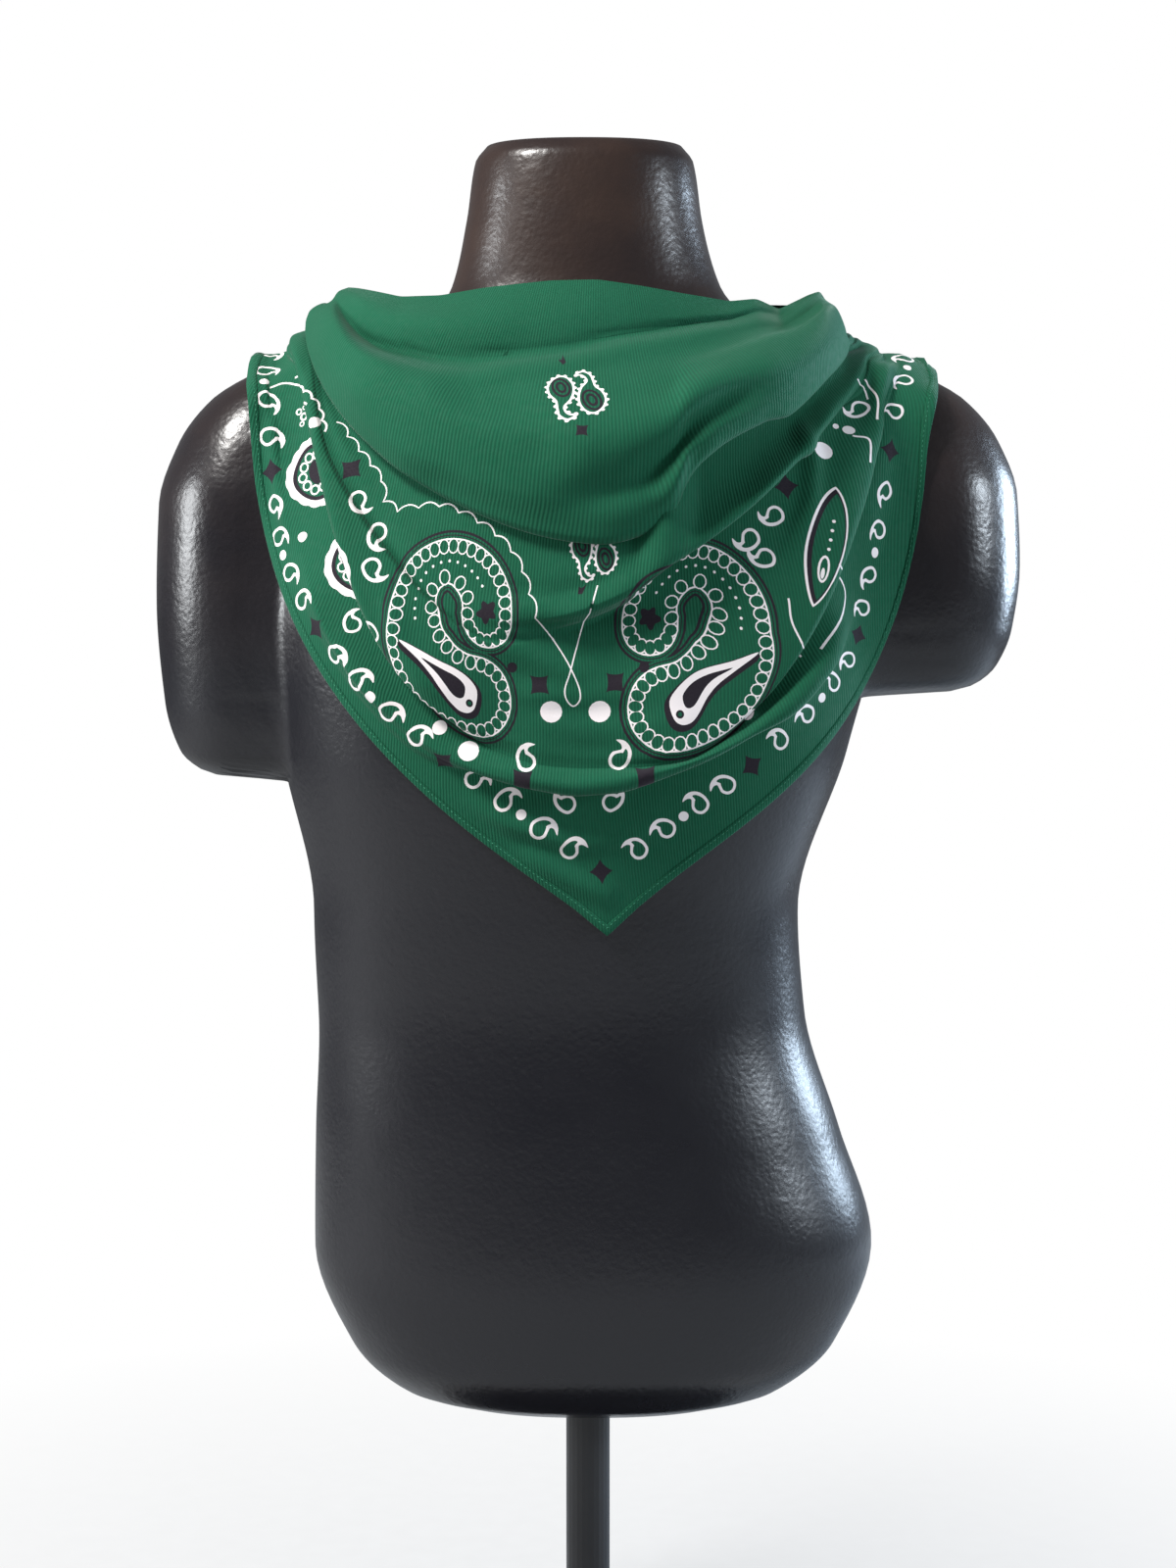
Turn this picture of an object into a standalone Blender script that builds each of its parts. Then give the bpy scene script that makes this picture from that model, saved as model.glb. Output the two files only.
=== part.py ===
"""A large square bandana, folded corner to corner into a doubled triangle and tied at the nape
of a smooth torso form on a stand.

Frame: +Z up, the form faces -Y, and +X is to the right of somebody who looks at its chest.
The origin is under the middle of the stand's base plate. The tables are in millimetres.

The cloth is one doubled wall. Its fold lines run from one shoulder to the other: the top fold
round the neck, the crease below it, the round of the cowl, four pleats and the hem. A smooth
base surface passes through them, and each pleat is then laid on it as three stacked layers.
"""

import math

import bmesh
import bpy
import numpy as np

MM = 0.001

# ---------------------------------------------------------------- driving sizes, in millimetres

CLOTH_THICKNESS = 1.2
CLOTH_CLEARANCE = 2.4  # from the form to the middle of the cloth
NODE_GAP = 0.3

BASE_RADIUS = 150.0
BASE_THICKNESS = 12.0
POLE_RADIUS = 12.5
FORM_BOTTOM = 190.0
FORM_TOP = 890.0
FORM_ROUND_STEPS = 44
TORSO_SQUARENESS = 2.3  # exponent of the torso's oval: 2 is an ellipse
SHOULDER_BLEND = 16.0

# The torso's sections: height, sideways lean of its middle, half width, depth in front of the
# axis and behind it.
TORSO_COLUMNS = ("z", "lean", "half_width", "front", "back")
TORSO_SECTIONS = (
    (190.0, 2.0, 84.0, 52.0, 60.0),
    (200.0, 2.0, 112.0, 74.0, 82.0),
    (225.0, 3.0, 138.0, 92.0, 103.0),
    (280.0, 3.0, 158.0, 101.0, 116.0),
    (345.0, -6.0, 148.0, 97.0, 101.0),
    (412.0, -15.0, 137.0, 93.0, 86.0),
    (470.0, -18.0, 136.0, 99.0, 88.0),
    (560.0, -13.0, 158.0, 113.0, 100.0),
    (640.0, -6.0, 170.0, 118.0, 110.0),
    (700.0, 0.0, 171.0, 108.0, 113.0),
    (740.0, 0.0, 168.0, 90.0, 108.0),
    (766.0, 0.0, 150.0, 76.0, 96.0),
    (782.0, 0.0, 116.0, 67.0, 84.0),
    (797.0, 0.0, 88.0, 61.0, 73.0),
    (815.0, -1.0, 74.0, 57.0, 66.0),
    (850.0, -2.0, 65.0, 55.0, 61.0),
    (882.0, -2.0, 60.0, 52.0, 58.0),
    (890.0, -2.0, 54.0, 46.0, 52.0),
)

# The round stubs that carry the shoulders: height on the right and on the left, distance of the
# centre from the axis, radius.
STUB_COLUMNS = ("right_z", "left_z", "centre", "radius")
STUB_SECTIONS = (
    (590.0, 542.0, 186.0, 14.0),
    (595.0, 547.0, 187.0, 30.0),
    (606.0, 558.0, 188.0, 41.0),
    (626.0, 585.0, 189.0, 48.0),
    (660.0, 640.0, 189.0, 52.0),
    (700.0, 695.0, 187.0, 52.0),
    (730.0, 728.0, 182.0, 46.0),
    (752.0, 752.0, 174.0, 36.0),
    (767.0, 768.0, 164.0, 20.0),
    (774.0, 775.0, 158.0, 6.0),
)
STUB_CENTRE_Y = 2.0

# The fold lines in front view. low_x and low_z are the line's lowest point, left and right its
# ends on the shoulders. It leaves the low point at low_slope, for flat shares of its width, and
# reaches each end over steep shares of its rise, leaning inward by lean. The y columns are its
# depth there, and hug is 1 where the line lies on the form.
LINE_COLUMNS = (
    "name", "low_x", "low_z", "low_y", "low_slope",
    "left_x", "left_z", "left_y", "left_flat", "left_steep", "left_lean",
    "right_x", "right_z", "right_y", "right_flat", "right_steep", "right_lean", "hug",
)
FOLD_LINES = (
    ("top", 0, 809, -82, 0, -134, 811, 2, 0.5, 0.3, 0, 124, 806, 2, 0.5, 0.3, 0, 0.0),
    ("crease", -48, 761, -121, 0, -141, 804, -4, 0.44, 0.95, 0.99, 131, 804, -4, 0.16, 0.17, -0.4, 0),
    ("cowl", 10, 722, -148, 0, -147, 801, -8, 0.5, 0.45, 0, 136, 795, -8, 0.3, 0.25, 0, 0),
    ("lip", 6, 677, -136, 0, -150, 797, -6, 0.47, 0.49, 0.13, 139, 786, -6, 0.26, 0.22, 0, 0),
    ("swag", -44, 634, -133, 0, -149, 793, -5, 0.31, 0.42, 0.1, 152, 782, -4, 0.43, 0.19, 0, 0.4),
    ("side", 29, 567, -124, 0, -159, 785, -3, 0.74, 0.82, 0.28, 161, 775, -3, 0.25, 0.92, 0.17, 0.9),
    ("bib", -5, 547, -122, 0, -169, 777, -2, 0.76, 0.4, 0, 171, 768, -2, 0.34, 0.73, -0.1, 1),
    ("hem", 10, 467, -104, 1, -181, 768, 0, 0.23, 0.62, -0.08, 184, 760, 0, 0.42, 0.71, 0, 1),
)

# The pleats, each on its fold line: how far its layers lap and how high its edge stands, at seven
# places from the left shoulder to the right one. reach is how far above the edge it starts. A
# dent is a valley pressed along its line.
PLEAT_PLACES = (-1.0, -0.6, -0.3, 0.0, 0.3, 0.6, 1.0)
PLEAT_COLUMNS = ("name", "lap", "height", "reach")
PLEATS = (
    ("lip", (12, 20, 24, 24, 18, 14, 10), (4, 11, 14, 15, 12, 10, 4), 66.0),
    ("swag", (0, 0, 0, 4, 14, 14, 0), (0, 0, 1, 4, 10, 7, 3), 46.0),
    ("side", (12, 16, 12, 0, 9, 14, 10), (4, 9, 7, 1, 6, 9, 1), 44.0),
    ("bib", (0, 0, 6, 17, 14, 5, 0), (0, 0, 4, 9, 9, 4, 1), 48.0),
)
DENT_COLUMNS = ("name", "depth")
DENTS = (
    ("crease", (1.5, 4.0, 4.0, 2.5, 2.5, 3.5, 1.5)),
)
LAP_LIMIT = 0.34  # the most a pleat laps, as a share of the cloth that rises to its edge
LAP_PER_HEIGHT = 2.4  # and for each millimetre that its edge stands above LEAST_LAPPED
LEAST_LAPPED = 4.8

# The gathers that run into the knot, and where the fold lines enter it at the nape.
GATHER_HEIGHT = 1.8
GATHERS = 3.5
KNOT_CENTRE = (0.0, 105.0, 793.0)
KNOT_HALF_WIDTH = 20.0
KNOT_ENTRY_HEIGHT = 42.0

# The knot's core, from its left face to its right one: x, half depth, half height.
CORE_SECTIONS = (
    (-20.0, 5.0, 20.0),
    (-18.0, 8.0, 21.5),
    (-12.0, 10.5, 19.0),
    (-6.0, 10.5, 16.5),
    (6.0, 10.5, 16.5),
    (12.0, 10.5, 19.0),
    (18.0, 8.0, 21.5),
    (20.0, 5.0, 20.0),
)
CORE_GATHERS = 9
CORE_GATHER_DEPTH = 0.7
WRAP_HALF_WIDTH = 11.0
WRAP_THICKNESS = 5.0
WRAP_SLANT = 3.0  # how far the wrap's front leans aside from bottom to top
WRAP_FLARE = 0.55  # how fast its inside opens towards its edges, over the core's wider ends

# The loose ends below the knot: share of the length from the knot, half width, gather depth.
END_COLUMNS = ("share", "half_width", "gather")
END_SECTIONS = (
    (0.0, 8.0, 2.4),
    (0.12, 12.0, 2.6),
    (0.3, 18.0, 2.4),
    (0.45, 21.0, 1.8),
    (0.6, 18.0, 1.2),
    (0.75, 12.5, 0.8),
    (0.9, 6.0, 0.4),
    (1.0, 1.6, 0.0),
)
END_WAVES = 2.5
LOOSE_ENDS = {  # where each leaves the knot and where its tip hangs
    "end_left": ((-9.0, 106.0, 768.0), (-50.0, 116.0, 694.0)),
    "end_right": ((9.0, 106.0, 769.3), (43.0, 116.0, 687.0)),
}

HEM_WIDTH = 6.0
HEM_THICKNESS = 0.8
HEM_GAP = 0.9

# The finishes: colour, roughness and how metallic they are.
COTTON = ((0.02, 0.2, 0.09), 0.85, 0.0)
ENAMEL = ((0.02, 0.02, 0.025), 0.35, 0.0)
STEEL = ((0.03, 0.03, 0.035), 0.4, 0.6)

CORNER_X = 10.0  # the hanging corner is a little to the right
LINE_SAMPLES = 301
BRIDGE_SAMPLES = 10
FRONT_STEPS = 18  # columns from the middle to each shoulder
BACK_STEPS = 7  # columns from each shoulder to the knot


# ---------------------------------------------------------------- small tools

def clear_scene():
    for old in list(bpy.data.objects):
        bpy.data.objects.remove(old)


def material(name, colour, roughness, metallic):
    made = bpy.data.materials.new(name)
    made.use_nodes = True
    shader = made.node_tree.nodes["Principled BSDF"]
    shader.inputs["Base Color"].default_value = (*colour, 1.0)
    shader.inputs["Roughness"].default_value = roughness
    shader.inputs["Metallic"].default_value = metallic
    made.diffuse_color = (*colour, 1.0)
    return made


def add_mesh(name, points, faces, finish):
    """A smooth object from points in millimetres, with a material of its own."""
    mesh = bpy.data.meshes.new(name)
    mesh.from_pydata((np.asarray(points) * MM).tolist(), [], faces)
    mesh.validate()
    shape = bmesh.new()
    shape.from_mesh(mesh)
    bmesh.ops.recalc_face_normals(shape, faces=shape.faces)
    shape.to_mesh(mesh)
    shape.free()
    mesh.shade_smooth()
    mesh.materials.append(material(name, *finish))
    made = bpy.data.objects.new(name, mesh)
    bpy.context.scene.collection.objects.link(made)
    return made


def column(table, columns, name):
    return np.array([row[columns.index(name)] for row in table], float)


def smooth_curve(at, places, values):
    """A curve through the values that never overshoots them (a monotone cubic)."""
    places, values = np.asarray(places, float), np.asarray(values, float)
    step, rise = np.diff(places), np.diff(values)
    slope = rise / step
    tangent = np.zeros_like(values)
    same = slope[:-1] * slope[1:] > 0
    tangent[1:-1][same] = 2 * slope[:-1][same] * slope[1:][same] / (slope[:-1] + slope[1:])[same]
    tangent[0], tangent[-1] = slope[0], slope[-1]
    at = np.clip(at, places[0], places[-1])
    i = np.clip(np.searchsorted(places, at, side="right") - 1, 0, len(step) - 1)
    t = (at - places[i]) / step[i]
    return (
        values[i] * (1 + 2 * t) * (1 - t) ** 2
        + tangent[i] * step[i] * t * (1 - t) ** 2
        + values[i + 1] * t**2 * (3 - 2 * t)
        + tangent[i + 1] * step[i] * t**2 * (t - 1)
    )


def ease(t):
    """0 to 1 with level ends."""
    t = np.clip(t, 0.0, 1.0)
    return t * t * (3 - 2 * t)


def bezier(start, leave, arrive, end, t):
    t = np.asarray(t)[:, None]
    return (
        (1 - t) ** 3 * start + 3 * (1 - t) ** 2 * t * leave
        + 3 * (1 - t) * t**2 * arrive + t**3 * end
    )


def evenly(points, count):
    """The same polyline with count points at equal steps along it."""
    along = np.concatenate([[0.0], np.cumsum(np.linalg.norm(np.diff(points, axis=0), axis=1))])
    wanted = np.linspace(0.0, along[-1], count)
    return np.stack([np.interp(wanted, along, points[:, i]) for i in range(3)], axis=1)


# ---------------------------------------------------------------- the torso form

def torso_size(z, name):
    return smooth_curve(z, column(TORSO_SECTIONS, TORSO_COLUMNS, "z"),
                        column(TORSO_SECTIONS, TORSO_COLUMNS, name))


def stub_size(x, z, name):
    """A size of the stub on the side where x lies."""
    values = column(STUB_SECTIONS, STUB_COLUMNS, name)
    sizes = []
    for hand in ("left_z", "right_z"):
        heights = column(STUB_SECTIONS, STUB_COLUMNS, hand)
        found = smooth_curve(z, heights, values)
        if name == "radius":
            found = np.where((z >= heights[0]) & (z <= heights[-1]), found, 0.0)
        sizes.append(found)
    return np.where(x < 0, sizes[0], sizes[1])


def form_radius(angle, z):
    """Distance from the middle of the form to its surface. Angle 0 is +X, and 90 degrees +Y."""
    across, deep = np.cos(angle), np.sin(angle)
    half_width, lean = torso_size(z, "half_width"), torso_size(z, "lean")
    depth = np.where(deep < 0, torso_size(z, "front"), torso_size(z, "back"))
    n = TORSO_SQUARENESS
    torso = ((np.abs(across) / half_width) ** n + (np.abs(deep) / depth) ** n) ** (-1 / n)
    radius = stub_size(across, z, "radius")
    centre = stub_size(across, z, "centre") - np.sign(across) * lean
    sideways = centre * np.abs(deep) - STUB_CENTRE_Y * np.abs(across) * np.sign(deep)
    forward = centre * np.abs(across) + STUB_CENTRE_Y * deep
    beside = np.maximum(np.abs(sideways) - radius, 0.0)
    stub = forward + np.sqrt(np.maximum(radius**2 - sideways**2, 0.0)) - 2.2 * beside
    stub = np.where(radius > 0, stub, 0.0)
    near = np.maximum(SHOULDER_BLEND - np.abs(torso - stub), 0.0) / SHOULDER_BLEND
    return np.maximum(torso, stub) + near**2 * SHOULDER_BLEND / 4


def form_front(x, z):
    """How far in front of the axis the form's surface lies, or 0 outside its outline."""
    deep = np.linspace(0.0, 150.0, 101)
    aside = (x - torso_size(z, "lean"))[:, None]
    angle = np.arctan2(-deep[None, :], aside)
    inside = np.hypot(aside, deep[None, :]) < form_radius(angle, np.repeat(z[:, None], 101, axis=1))
    return np.where(inside, deep[None, :], 0.0).max(axis=1)


def form_distance(points):
    """Roughly how far each point is outside the form, and the way out."""
    step = 0.5

    def depth(p):
        z = np.clip(p[..., 2], FORM_BOTTOM, FORM_TOP)
        x = p[..., 0] - torso_size(z, "lean")
        return np.hypot(x, p[..., 1]) - form_radius(np.arctan2(p[..., 1], x), z)

    here = depth(points)
    slope = np.stack(
        [(depth(points + step * axis) - depth(points - step * axis)) / (2 * step) for axis in np.eye(3)],
        axis=-1,
    )
    steepness = np.maximum(np.linalg.norm(slope, axis=-1), 1e-6)
    return here / steepness, slope / steepness[..., None]


def rest_on_form(grid, clearance):
    """Moves a grid of points out until they, and the places halfway between neighbours, are that
    far from the form. Points further off stay."""
    for _ in range(10):
        distance, way_out = form_distance(grid)
        push = way_out * np.clip(clearance - distance, 0.0, 12.0)[..., None]
        for low, high in (
            (np.s_[:-1], np.s_[1:]), (np.s_[:, :-1], np.s_[:, 1:]),
        ):
            distance, way_out = form_distance((grid[low] + grid[high]) / 2)
            half = way_out * np.clip(clearance - distance, 0.0, 12.0)[..., None]
            for part in (low, high):
                longer = np.linalg.norm(half, axis=-1) > np.linalg.norm(push[part], axis=-1)
                push[part] = np.where(longer[..., None], half, push[part])
        grid = grid + push
    return grid


def build_form(finish):
    heights = np.unique(np.concatenate([
        column(TORSO_SECTIONS, TORSO_COLUMNS, "z"),
        column(STUB_SECTIONS, STUB_COLUMNS, "left_z"),
        column(STUB_SECTIONS, STUB_COLUMNS, "right_z"),
        np.arange(250.0, 530.0, 40.0),
    ]))
    heights = heights[np.concatenate([[True], np.diff(heights) > 4.0])]
    turn = np.linspace(0.0, 2 * math.pi, FORM_ROUND_STEPS, endpoint=False)
    angles = turn - 0.3 * np.sin(2 * turn)  # closer together on the stubs
    points, faces = [], []
    for z in heights:
        radius = form_radius(angles, np.full_like(angles, z))
        lean = float(torso_size(z, "lean"))
        points += [(lean + r * math.cos(a), r * math.sin(a), z) for r, a in zip(radius, angles)]
    rings, round_steps = len(heights), FORM_ROUND_STEPS
    for i in range(rings - 1):
        for j in range(round_steps):
            k = (j + 1) % round_steps
            low, high = i * round_steps, (i + 1) * round_steps
            faces.append((low + j, low + k, high + k, high + j))
    faces.append(tuple(range(round_steps))[::-1])
    faces.append(tuple((rings - 1) * round_steps + j for j in range(round_steps)))
    return add_mesh("torso_form", points, faces, finish)


def turned(name, radius, low, high, finish, steps=40):
    """An upright round piece with its edges broken."""
    bpy.ops.mesh.primitive_cylinder_add(
        vertices=steps, radius=radius * MM, depth=(high - low) * MM,
        location=(0, 0, (low + high) / 2 * MM),
    )
    made = bpy.context.active_object
    made.name = made.data.name = name
    bevel = made.modifiers.new("broken_edge", "BEVEL")
    bevel.width = 2.0 * MM
    bevel.segments = 2
    bevel.limit_method = "ANGLE"
    made.data.shade_smooth()
    made.data.materials.append(material(name, *finish))
    return made


# ---------------------------------------------------------------- the cloth's fold lines

def bridged(depth):
    """The depths along a line, made smooth and never behind the given ones: cloth spans hollows."""
    reach = BRIDGE_SAMPLES
    padded = np.pad(depth, 2 * reach, mode="edge")
    nearest = np.lib.stride_tricks.sliding_window_view(padded, 2 * reach + 1).min(axis=1)
    return np.lib.stride_tricks.sliding_window_view(nearest, 2 * reach + 1).mean(axis=1)


def front_line(row, count):
    """A fold line from the left shoulder to the right one, as points at equal steps on each side
    of the corner that hangs in front."""
    size = dict(zip(LINE_COLUMNS, row))
    low = np.array([size["low_x"], size["low_y"], size["low_z"]], float)
    halves = []
    for hand in ("left", "right"):
        end = np.array([size[f"{hand}_{axis}"] for axis in "xyz"], float)
        width, rise = end[0] - low[0], end[2] - low[2]
        leave = low + size[f"{hand}_flat"] * np.array([width, 0.0, size["low_slope"] * abs(width)])
        back = size[f"{hand}_steep"] * rise
        arrive = end - np.array([np.sign(width) * size[f"{hand}_lean"] * back, 0.0, back])
        line = bezier(low, leave, arrive, end, np.linspace(0.0, 1.0, LINE_SAMPLES))
        share = np.clip((line[:, 0] - low[0]) / width, 0.0, 1.0)
        line[:, 1] = end[1] + (low[1] - end[1]) * np.sqrt(1 - share**2)
        halves.append(line)
    line = evenly(np.concatenate([halves[0][::-1], halves[1][1:]]), LINE_SAMPLES)
    lying = bridged(-form_front(line[:, 0], line[:, 2]) - CLOTH_CLEARANCE)
    to_end = np.minimum(np.arange(LINE_SAMPLES), np.arange(LINE_SAMPLES)[::-1]) / BRIDGE_SAMPLES
    line[:, 1] += size["hug"] * ease(to_end) * (lying - line[:, 1])
    middle = int(np.argmin(np.abs(line[:, 0] - CORNER_X)))
    return np.concatenate([evenly(line[:middle + 1], count), evenly(line[middle:], count)[1:]])


def back_line(row, hand, rank, count):
    """The same line from the shoulder to the knot. rank is 0 at the top fold and 1 at the hem."""
    size = dict(zip(LINE_COLUMNS, row))
    side = -1 if hand == "left" else 1
    start = np.array([size[f"{hand}_{axis}"] for axis in "xyz"], float)
    end = np.array([
        side * (KNOT_HALF_WIDTH + NODE_GAP),
        KNOT_CENTRE[1] - 4,
        KNOT_CENTRE[2] + KNOT_ENTRY_HEIGHT * (0.5 - rank),
    ])
    leave = start + np.array([-side * 8 * rank, 52.0, 4.0 * rank])
    arrive = end + np.array([side * 62.0, -4.0, 2.0])
    return evenly(bezier(start, leave, arrive, end, np.linspace(0.0, 1.0, 4 * count)), count)


def base_grid(columns_of_lines):
    """The smooth surface through the fold lines: for each column, points along it, and how far
    down the column each fold line is."""
    steps = 90
    grids, marks = [], []
    for knots in columns_of_lines:
        chord = np.concatenate([[0.0], np.cumsum(np.linalg.norm(np.diff(knots, axis=0), axis=1))])
        fine = np.linspace(0.0, chord[-1], 400)
        curve = np.stack([smooth_curve(fine, chord, knots[:, i]) for i in range(3)], axis=1)
        along = np.concatenate([[0.0], np.cumsum(np.linalg.norm(np.diff(curve, axis=0), axis=1))])
        marks.append(np.interp(chord, fine, along))
        wanted = np.linspace(0.0, along[-1], steps)
        grids.append(np.stack([np.interp(wanted, along, curve[:, i]) for i in range(3)], axis=1))
    return np.array(grids), np.array(marks)


def outward(grid):
    """The surface's normals, pointing away from the form."""
    across = np.gradient(grid, axis=0)
    down = np.gradient(grid, axis=1)
    normal = np.cross(across, down)
    normal /= np.maximum(np.linalg.norm(normal, axis=-1, keepdims=True), 1e-9)
    middle = grid.shape[0] // 2
    if normal[middle, grid.shape[1] // 2, 1] > 0:
        normal = -normal
    return normal


# ---------------------------------------------------------------- the pleats

# The rows that make a pleat, from its outer layer to its inner one. flat_at is where a row lies
# when the pleat has faded out, as a share of the way to the next line. A lapped row lies at
# of_turn turns plus of_lap laps from the edge, and stands off by height times the pleat's.
PLEAT_TURN = 5.0
PLEAT_SPREAD = 22.0  # how far apart its rows lie where it has faded out
BLENDS = 2  # how often the rows are evened out between neighbouring columns
PLEAT_ROW_COLUMNS = ("flat_at", "of_turn", "of_lap", "height")
PLEAT_ROWS = (
    (0.00, -1.0, 0.0, 1.00),
    (0.12, 0.0, 0.0, 0.76),
    (0.24, -0.9, 0.0, 0.52),
    (0.36, 0.9, -1.0, 0.48),
    (0.48, 0.0, -1.0, 0.24),
    (0.60, 1.0, -1.0, 0.0),
)
PLAIN_STEPS = {"top": 2, "crease": 2, "cowl": 2, "lip": 2, "swag": 1, "side": 1, "bib": 3}


def pleat_size(values, s):
    return smooth_curve(np.clip(s, -1.0, 1.0), PLEAT_PLACES, values)


def column_pleats(s, fade, marks):
    """The pleats of one column, each as the number of its fold line, how far down it is, its
    height, lap and turn, and how far above it the cloth begins to rise to it. s is -1 to 1 from
    shoulder to shoulder, and fade thins the pleats towards the knot."""
    names = [row[0] for row in FOLD_LINES]
    pleats = []
    above = 0.0
    for name, laps, heights, reach in PLEATS:
        line = names.index(name)
        edge, below = marks[line], marks[line + 1]
        rising = max(min(reach, edge - above), 1.0)
        height = pleat_size(heights, s) * ease(fade)
        room = min(LAP_LIMIT * rising, LAP_PER_HEIGHT * max(height - LEAST_LAPPED, 0.0))
        lap = min(pleat_size(laps, s) * ease(1.6 * fade), room)
        turn = min(PLEAT_TURN, 0.45 * lap, 0.35 * (below - edge))
        pleats.append((line, edge, height, lap, turn, rising))
        above += (edge - above) * ease(height / 4.0)
    return pleats


def column_rows(s, fade, marks, pleats):
    """For each row of a column: how far down it lies while it is flat, how far its pleat moves
    it, and how far it stands off."""
    places, moves, stands = [0.0], [0.0], [0.0]
    for i, (name, *_) in enumerate(FOLD_LINES[:-1]):
        begin, end, moved = marks[i], marks[i + 1], 0.0
        for line, edge, height, lap, turn, _ in pleats:
            if line == i:
                for rows in (places, moves, stands):
                    rows.pop()
                lapped = ease(lap / 4.0)
                for flat_at, of_turn, of_lap, share in PLEAT_ROWS:
                    places.append(edge + flat_at * min(end - edge, PLEAT_SPREAD))
                    moves.append(lapped * (edge + of_turn * turn + of_lap * lap - places[-1]))
                    stands.append(height * share)
                begin, moved = places[-1], moves[-1]
        for k in range(1, PLAIN_STEPS[name] + 1):
            share = k / PLAIN_STEPS[name]
            places.append(begin + (end - begin) * share)
            moves.append(moved * (1 - share))
            stands.append(0.0)
        for dented, depths in DENTS:
            if dented == FOLD_LINES[i + 1][0]:
                stands[-1] -= pleat_size(depths, s) * ease(fade)
    gathered = 1 - ease(fade)
    places = np.array(places)
    places += gathered * (np.linspace(0.0, marks[-1], len(places)) - places)
    ripple = GATHER_HEIGHT * gathered * np.sin(2 * math.pi * GATHERS * places / marks[-1])
    return places, np.array(moves) * (1 - gathered), np.array(stands) + ripple


def row_lines():
    """The fold line that each row belongs to or follows."""
    pleated = [row[0] for row in PLEATS]
    lines = [0]
    for i, (name, *_) in enumerate(FOLD_LINES[:-1]):
        if name in pleated:
            lines[-1:] = [i] * len(PLEAT_ROWS)
        lines += [i] * PLAIN_STEPS[name]
    return np.array(lines)


def cloth_columns(lines, spans, fades):
    """The pleated surface: its points, one row of points for each column."""
    grid, marks = base_grid(np.swapaxes(np.array(lines), 0, 1))
    grid = rest_on_form(grid, CLOTH_CLEARANCE)
    normal = outward(grid)
    pleats = [column_pleats(*sizes) for sizes in zip(spans, fades, marks)]
    rows = np.array([column_rows(*sizes) for sizes in zip(spans, fades, marks, pleats)])
    for _ in range(BLENDS):
        rows[1:-1, 1:] = (rows[:-2, 1:] + 2 * rows[1:-1, 1:] + rows[2:, 1:]) / 4
    after = row_lines()
    surface = []
    for j, (places, moves, heights) in enumerate(rows):
        places = places + moves
        rises = [
            np.where(after < line, height * ease((places - edge + rising) / rising), 0.0)
            for line, edge, height, _, _, rising in pleats[j]
        ]
        heights = heights + np.max(rises, axis=0)
        along = np.concatenate([[0.0], np.cumsum(np.linalg.norm(np.diff(grid[j], axis=0), axis=1))])
        places = places * along[-1] / marks[j][-1]
        at = np.stack([np.interp(places, along, grid[j][:, i]) for i in range(3)], axis=1)
        way = np.stack([np.interp(places, along, normal[j][:, i]) for i in range(3)], axis=1)
        way /= np.linalg.norm(way, axis=1, keepdims=True)
        surface.append(at + way * heights[:, None])
    return np.array(surface)


def whole_cloth():
    """The columns from the knot over the left shoulder, the front and the right shoulder."""
    front = FRONT_STEPS
    lines = []
    for i, row in enumerate(FOLD_LINES):
        rank = i / (len(FOLD_LINES) - 1)
        middle = front_line(row, front + 1)
        left = back_line(row, "left", rank, BACK_STEPS + 1)[::-1]
        right = back_line(row, "right", rank, BACK_STEPS + 1)
        lines.append(np.concatenate([left[:-1], middle, right[1:]]))
    spans = np.concatenate([
        np.full(BACK_STEPS, -1.0), np.linspace(-1.0, 1.0, 2 * front + 1), np.full(BACK_STEPS, 1.0),
    ])
    to_knot = np.linspace(1.0, 0.0, BACK_STEPS + 1)
    fades = np.concatenate([to_knot[::-1][:-1], np.ones(2 * front + 1), to_knot[1:]])
    return cloth_columns(lines, spans, fades)


def cloth_normals(surface):
    """The way out of the cloth at each point of the pleated surface, from the faces around it."""
    a, b = surface[:-1, :-1], surface[1:, :-1]
    c, d = surface[1:, 1:], surface[:-1, 1:]
    face = np.cross(d - b, c - a)
    total = np.zeros_like(surface)
    total[:-1, :-1] += face
    total[1:, :-1] += face
    total[1:, 1:] += face
    total[:-1, 1:] += face
    return total / np.maximum(np.linalg.norm(total, axis=-1, keepdims=True), 1e-9)


def wall(name, surface, normals, finish, thickness):
    """A stretch of the cloth as a doubled wall, closed along its four edges."""
    across, down = surface.shape[:2]
    inner = surface - normals * thickness / 2
    outer = surface + normals * thickness / 2
    points = np.concatenate([inner.reshape(-1, 3), outer.reshape(-1, 3)])
    count = across * down
    faces = []
    for i in range(across - 1):
        for j in range(down - 1):
            a, b = i * down + j, (i + 1) * down + j
            faces += [(a, b, b + 1), (a, b + 1, a + 1)]
            a, b = a + count, b + count
            faces += [(a, b + 1, b), (a, a + 1, b + 1)]
    rim = [i * down for i in range(across)]
    rim += [(across - 1) * down + j for j in range(1, down)]
    rim += [i * down + down - 1 for i in range(across - 2, -1, -1)]
    rim += list(range(down - 2, 0, -1))
    for a, b in zip(rim, rim[1:] + rim[:1]):
        faces.append((a, count + a, count + b, b))
    return add_mesh(name, points, faces, finish)


def shortened(surface, first, last):
    """The stretch between two columns, drawn back by half a gap from each cut end."""
    stretch = surface[first:last + 1].copy()
    if first > 0:
        way = stretch[1] - stretch[0]
        stretch[0] += way / np.linalg.norm(way, axis=-1, keepdims=True) * NODE_GAP / 2
    if last < len(surface) - 1:
        way = stretch[-2] - stretch[-1]
        stretch[-1] += way / np.linalg.norm(way, axis=-1, keepdims=True) * NODE_GAP / 2
    return stretch


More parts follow.
